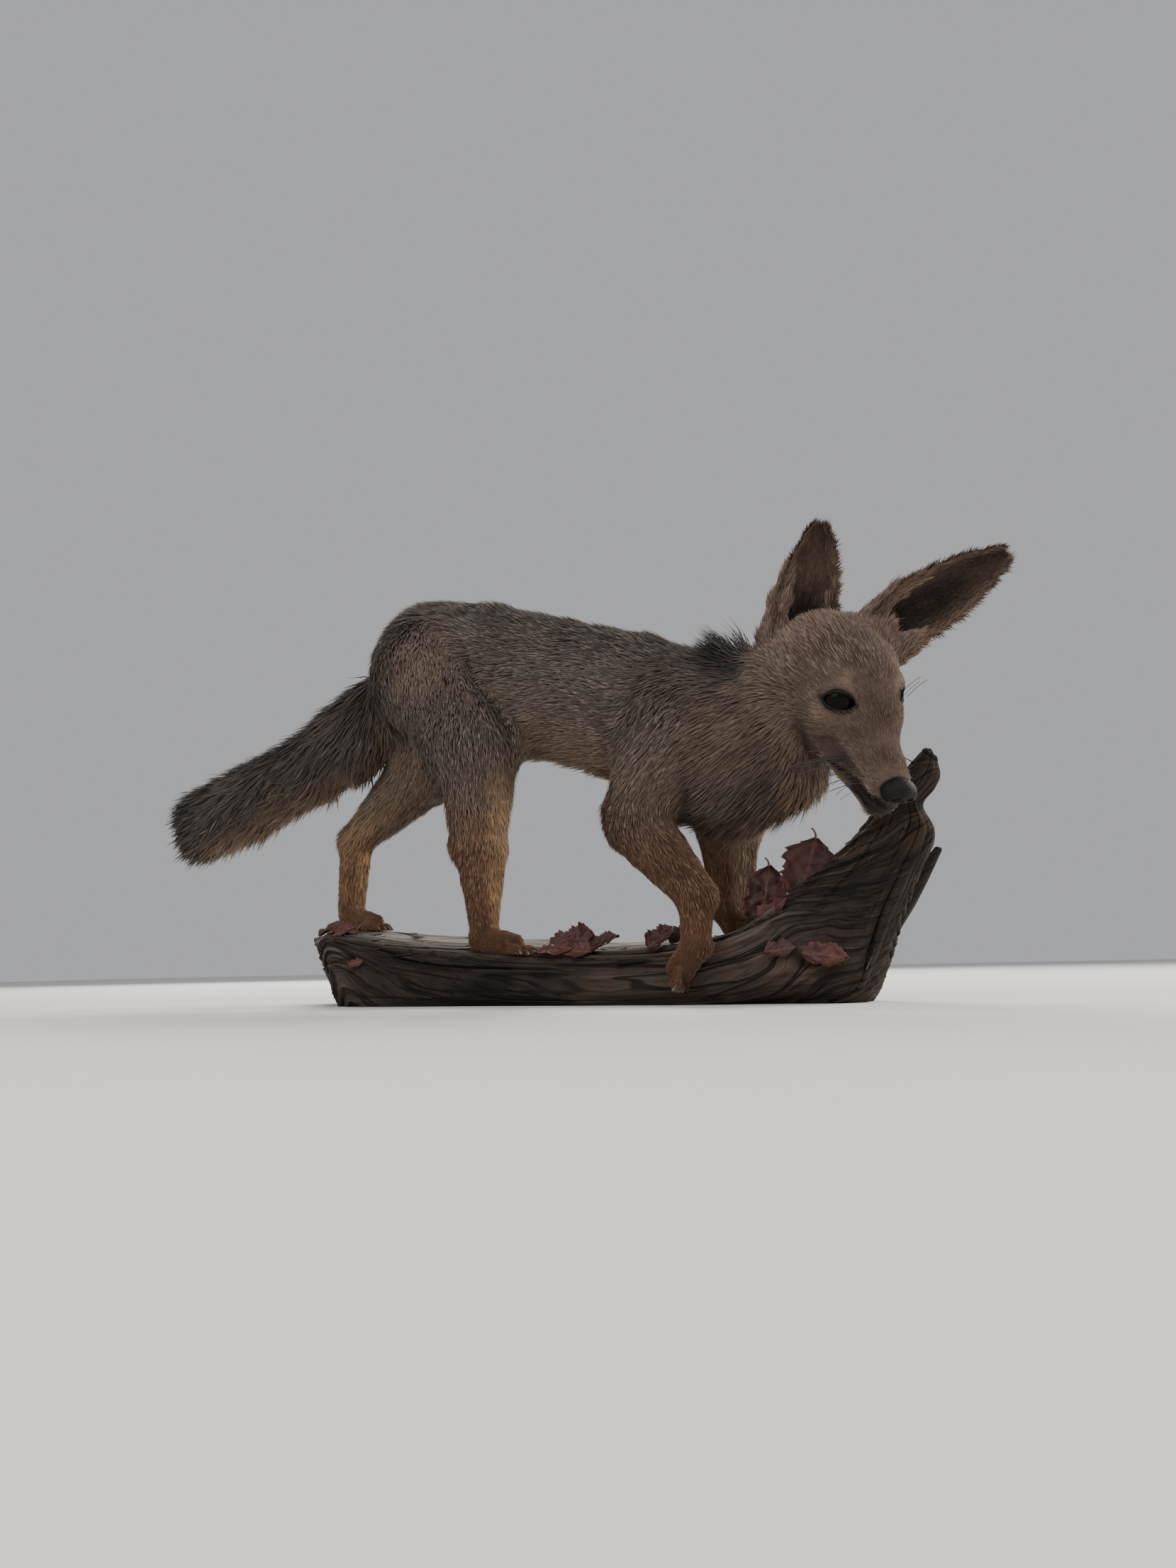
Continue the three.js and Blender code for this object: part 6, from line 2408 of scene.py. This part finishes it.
LEAVES = (
    Leaf("leaf_standing_left", (130, -20, 52), (0.16, 0.1, 1), (0.2, -1, 0.1), 44, 18.5, stem=8),
    Leaf("leaf_standing_right", (157, -16, 69), (0.3, 0.05, 1), (0.3, -1, 0.2), 46, 20, stem=10),
    Leaf("leaf_curled", (133, -31, 56), (0.75, -0.1, 0.55), (-0.1, -0.9, 0.4), 25, 8.5),
    Leaf("leaf_front_left", (139, -47, 35), (1, 0, 0.1), (0, -1, 0.5), 22, 7),
    Leaf("leaf_front_right", (164, -45, 34), (1, 0.05, -0.15), (0, -1, 0.4), 32, 9),
    Leaf("leaf_middle_left", (-28, -34, 40), (0.78, 0.25, 0.28), (0.2, -0.8, 0.6), 31, 13),
    Leaf("leaf_middle_right", (0, -36, 39), (0.85, 0.25, 0.30), (-0.2, -0.7, 0.7), 29, 13),
    Leaf("leaf_small", (52, -40, 40), (0.6, 0.2, 0.4), (0.1, -0.8, 0.6), 24, 10),
    Leaf("leaf_end", (-214, -14, 58.5), (-1, 0.2, 0.05), (0, -0.4, 1), 34, 12),
    Leaf("leaf_scrap_end", (-226, -30, 56.5), (0.9, -0.1, 0.2), (-0.2, -0.7, 0.7), 22, 8, node=False),
    Leaf("leaf_scrap_corner", (-246, -22, 57), (0.8, 0.3, 0.5), (-0.4, -0.8, 0.4), 15, 7, node=False),
    Leaf("leaf_scrap_face", (-192, -54.5, 33), (1, 0.05, 0.15), (0, -1, 0.2), 13, 4, node=False),
    Leaf("leaf_middle_back", (-18, -26, 43), (0.9, -0.1, 0.30), (0.3, -0.8, 0.5), 26, 12, node=False),
    Leaf("leaf_middle_low", (-34, -44, 38), (0.95, 0.0, 0.05), (0.1, -0.6, 0.8), 30, 9, node=False),
    Leaf("leaf_middle_end", (10, -46, 38), (-0.9, 0.1, 0.12), (0.2, -0.7, 0.7), 26, 9, node=False),
    Leaf("leaf_behind_paw", (64, -28, 44), (0.7, 0.4, 0.45), (-0.3, -0.8, 0.5), 22, 10, node=False),
)


# ------------------------------------------------------------------------------- the studio
@dataclass(frozen=True)
class FloorFinish(Finish):
    """Plain pale paper."""

    name: str = "floor_paper"
    dark: Triple = (0.66, 0.65, 0.63)
    light: Triple = (0.70, 0.69, 0.67)

    def surface(self, g: Graph) -> dict[str | int, Any]:
        """Made from Object coordinates."""
        return {"Base Color": g.blend(g.noise(g.coordinates(), 60, 3), self.dark, self.light), "Roughness": 0.9}


@dataclass
class Studio:
    """A pale floor, soft light and the camera."""

    focal_share: float = 0.75
    eye_point: Triple = (358.2, -825.3, 28.35)
    azimuth: float = 24.0
    rise_angle: float = 8.77
    roll: float = 1.17

    def camera(self) -> None:
        """Places the camera."""
        a, p, r = (math.radians(x) for x in (self.azimuth, self.rise_angle, self.roll))
        level = Vector((-math.sin(a), math.cos(a), 0))
        side = Vector((math.cos(a), math.sin(a), 0))
        look = level * math.cos(p) + Vector((0, 0, math.sin(p)))
        above = Vector((0, 0, math.cos(p))) - level * math.sin(p)
        right = side * math.cos(r) - above * math.sin(r)
        up = above * math.cos(r) + side * math.sin(r)
        data = bpy.data.cameras.new("camera")
        data.sensor_width = 36
        data.lens = 36 * self.focal_share
        data.clip_start = 0.01
        made = bpy.data.objects.new("camera", data)
        bpy.context.scene.collection.objects.link(made)
        turn = Matrix((right, up, -look)).transposed().to_4x4()
        made.matrix_world = Matrix.Translation(Vector(self.eye_point) * MM) @ turn
        bpy.context.scene.camera = made

    @staticmethod
    def light(name: str, at: Triple, toward: Triple, size: float, power: float, tone: Triple) -> None:
        """One soft square light.

        Args:
            name: its name.
            at: where it stands, in metres.
            toward: what it faces, in metres.
            size: its side.
            power: in watts.
            tone: its colour.
        """
        data = bpy.data.lights.new(name, "AREA")
        data.shape = "SQUARE"
        data.size = size
        data.energy = power
        data.color = tone
        made = bpy.data.objects.new(name, data)
        bpy.context.scene.collection.objects.link(made)
        made.location = at
        made.rotation_euler = (Vector(toward) - Vector(at)).to_track_quat("-Z", "Y").to_euler()

    def build(self) -> None:
        """Floor, world, lights and camera."""
        reach = 6000.0
        corners = np.array([(-reach, -reach, 0), (reach, -reach, 0), (reach, reach, 0), (-reach, reach, 0)])
        floor = new_mesh("floor", corners, [(0, 1, 2, 3)], smooth=False)
        floor.data.materials.append(FloorFinish().make())
        world = bpy.data.worlds.new("studio")
        bpy.context.scene.world = world
        world.use_nodes = True
        sky = Graph(world.node_tree)
        glow = sky.node("ShaderNodeBackground", {"Color": (0.88, 0.89, 0.92), "Strength": 0.5})
        sky.node("ShaderNodeOutputWorld", {"Surface": sky.out(glow)})
        middle = (0.0, 0.0, 0.2)
        self.light("window_left", (-1.3, 1.9, 1.5), middle, 1.3, 80, (1.0, 0.93, 0.84))
        self.light("window_right", (1.7, 1.3, 1.2), middle, 1.0, 60, (1.0, 0.93, 0.84))
        self.light("front_fill", (-0.5, -2.2, 1.3), middle, 1.9, 24, (0.97, 0.98, 1.0))
        self.light("key", (1.5, -1.5, 1.7), (0.1, 0, 0.2), 1.1, 28, (1.0, 0.97, 0.93))
        self.camera()


def main() -> None:
    """Builds every sub-assembly in order and notes the sizes."""
    logging.basicConfig(level=logging.INFO, format="%(name)s %(message)s")
    Studio().build()
    Driftwood().build()
    for leaf in LEAVES:
        leaf.build()
    form = Form()
    skin = Skin(form)
    skin.build()
    Fur(skin).grow()
    for number, (name, ear) in enumerate(EARS.items()):
        EarShell(name, ear, 71 + number).build()
    Eyes().build()
    Nose().build()
    Whiskers().build()
    Claws().build(form)


if __name__ == "__main__":
    main()
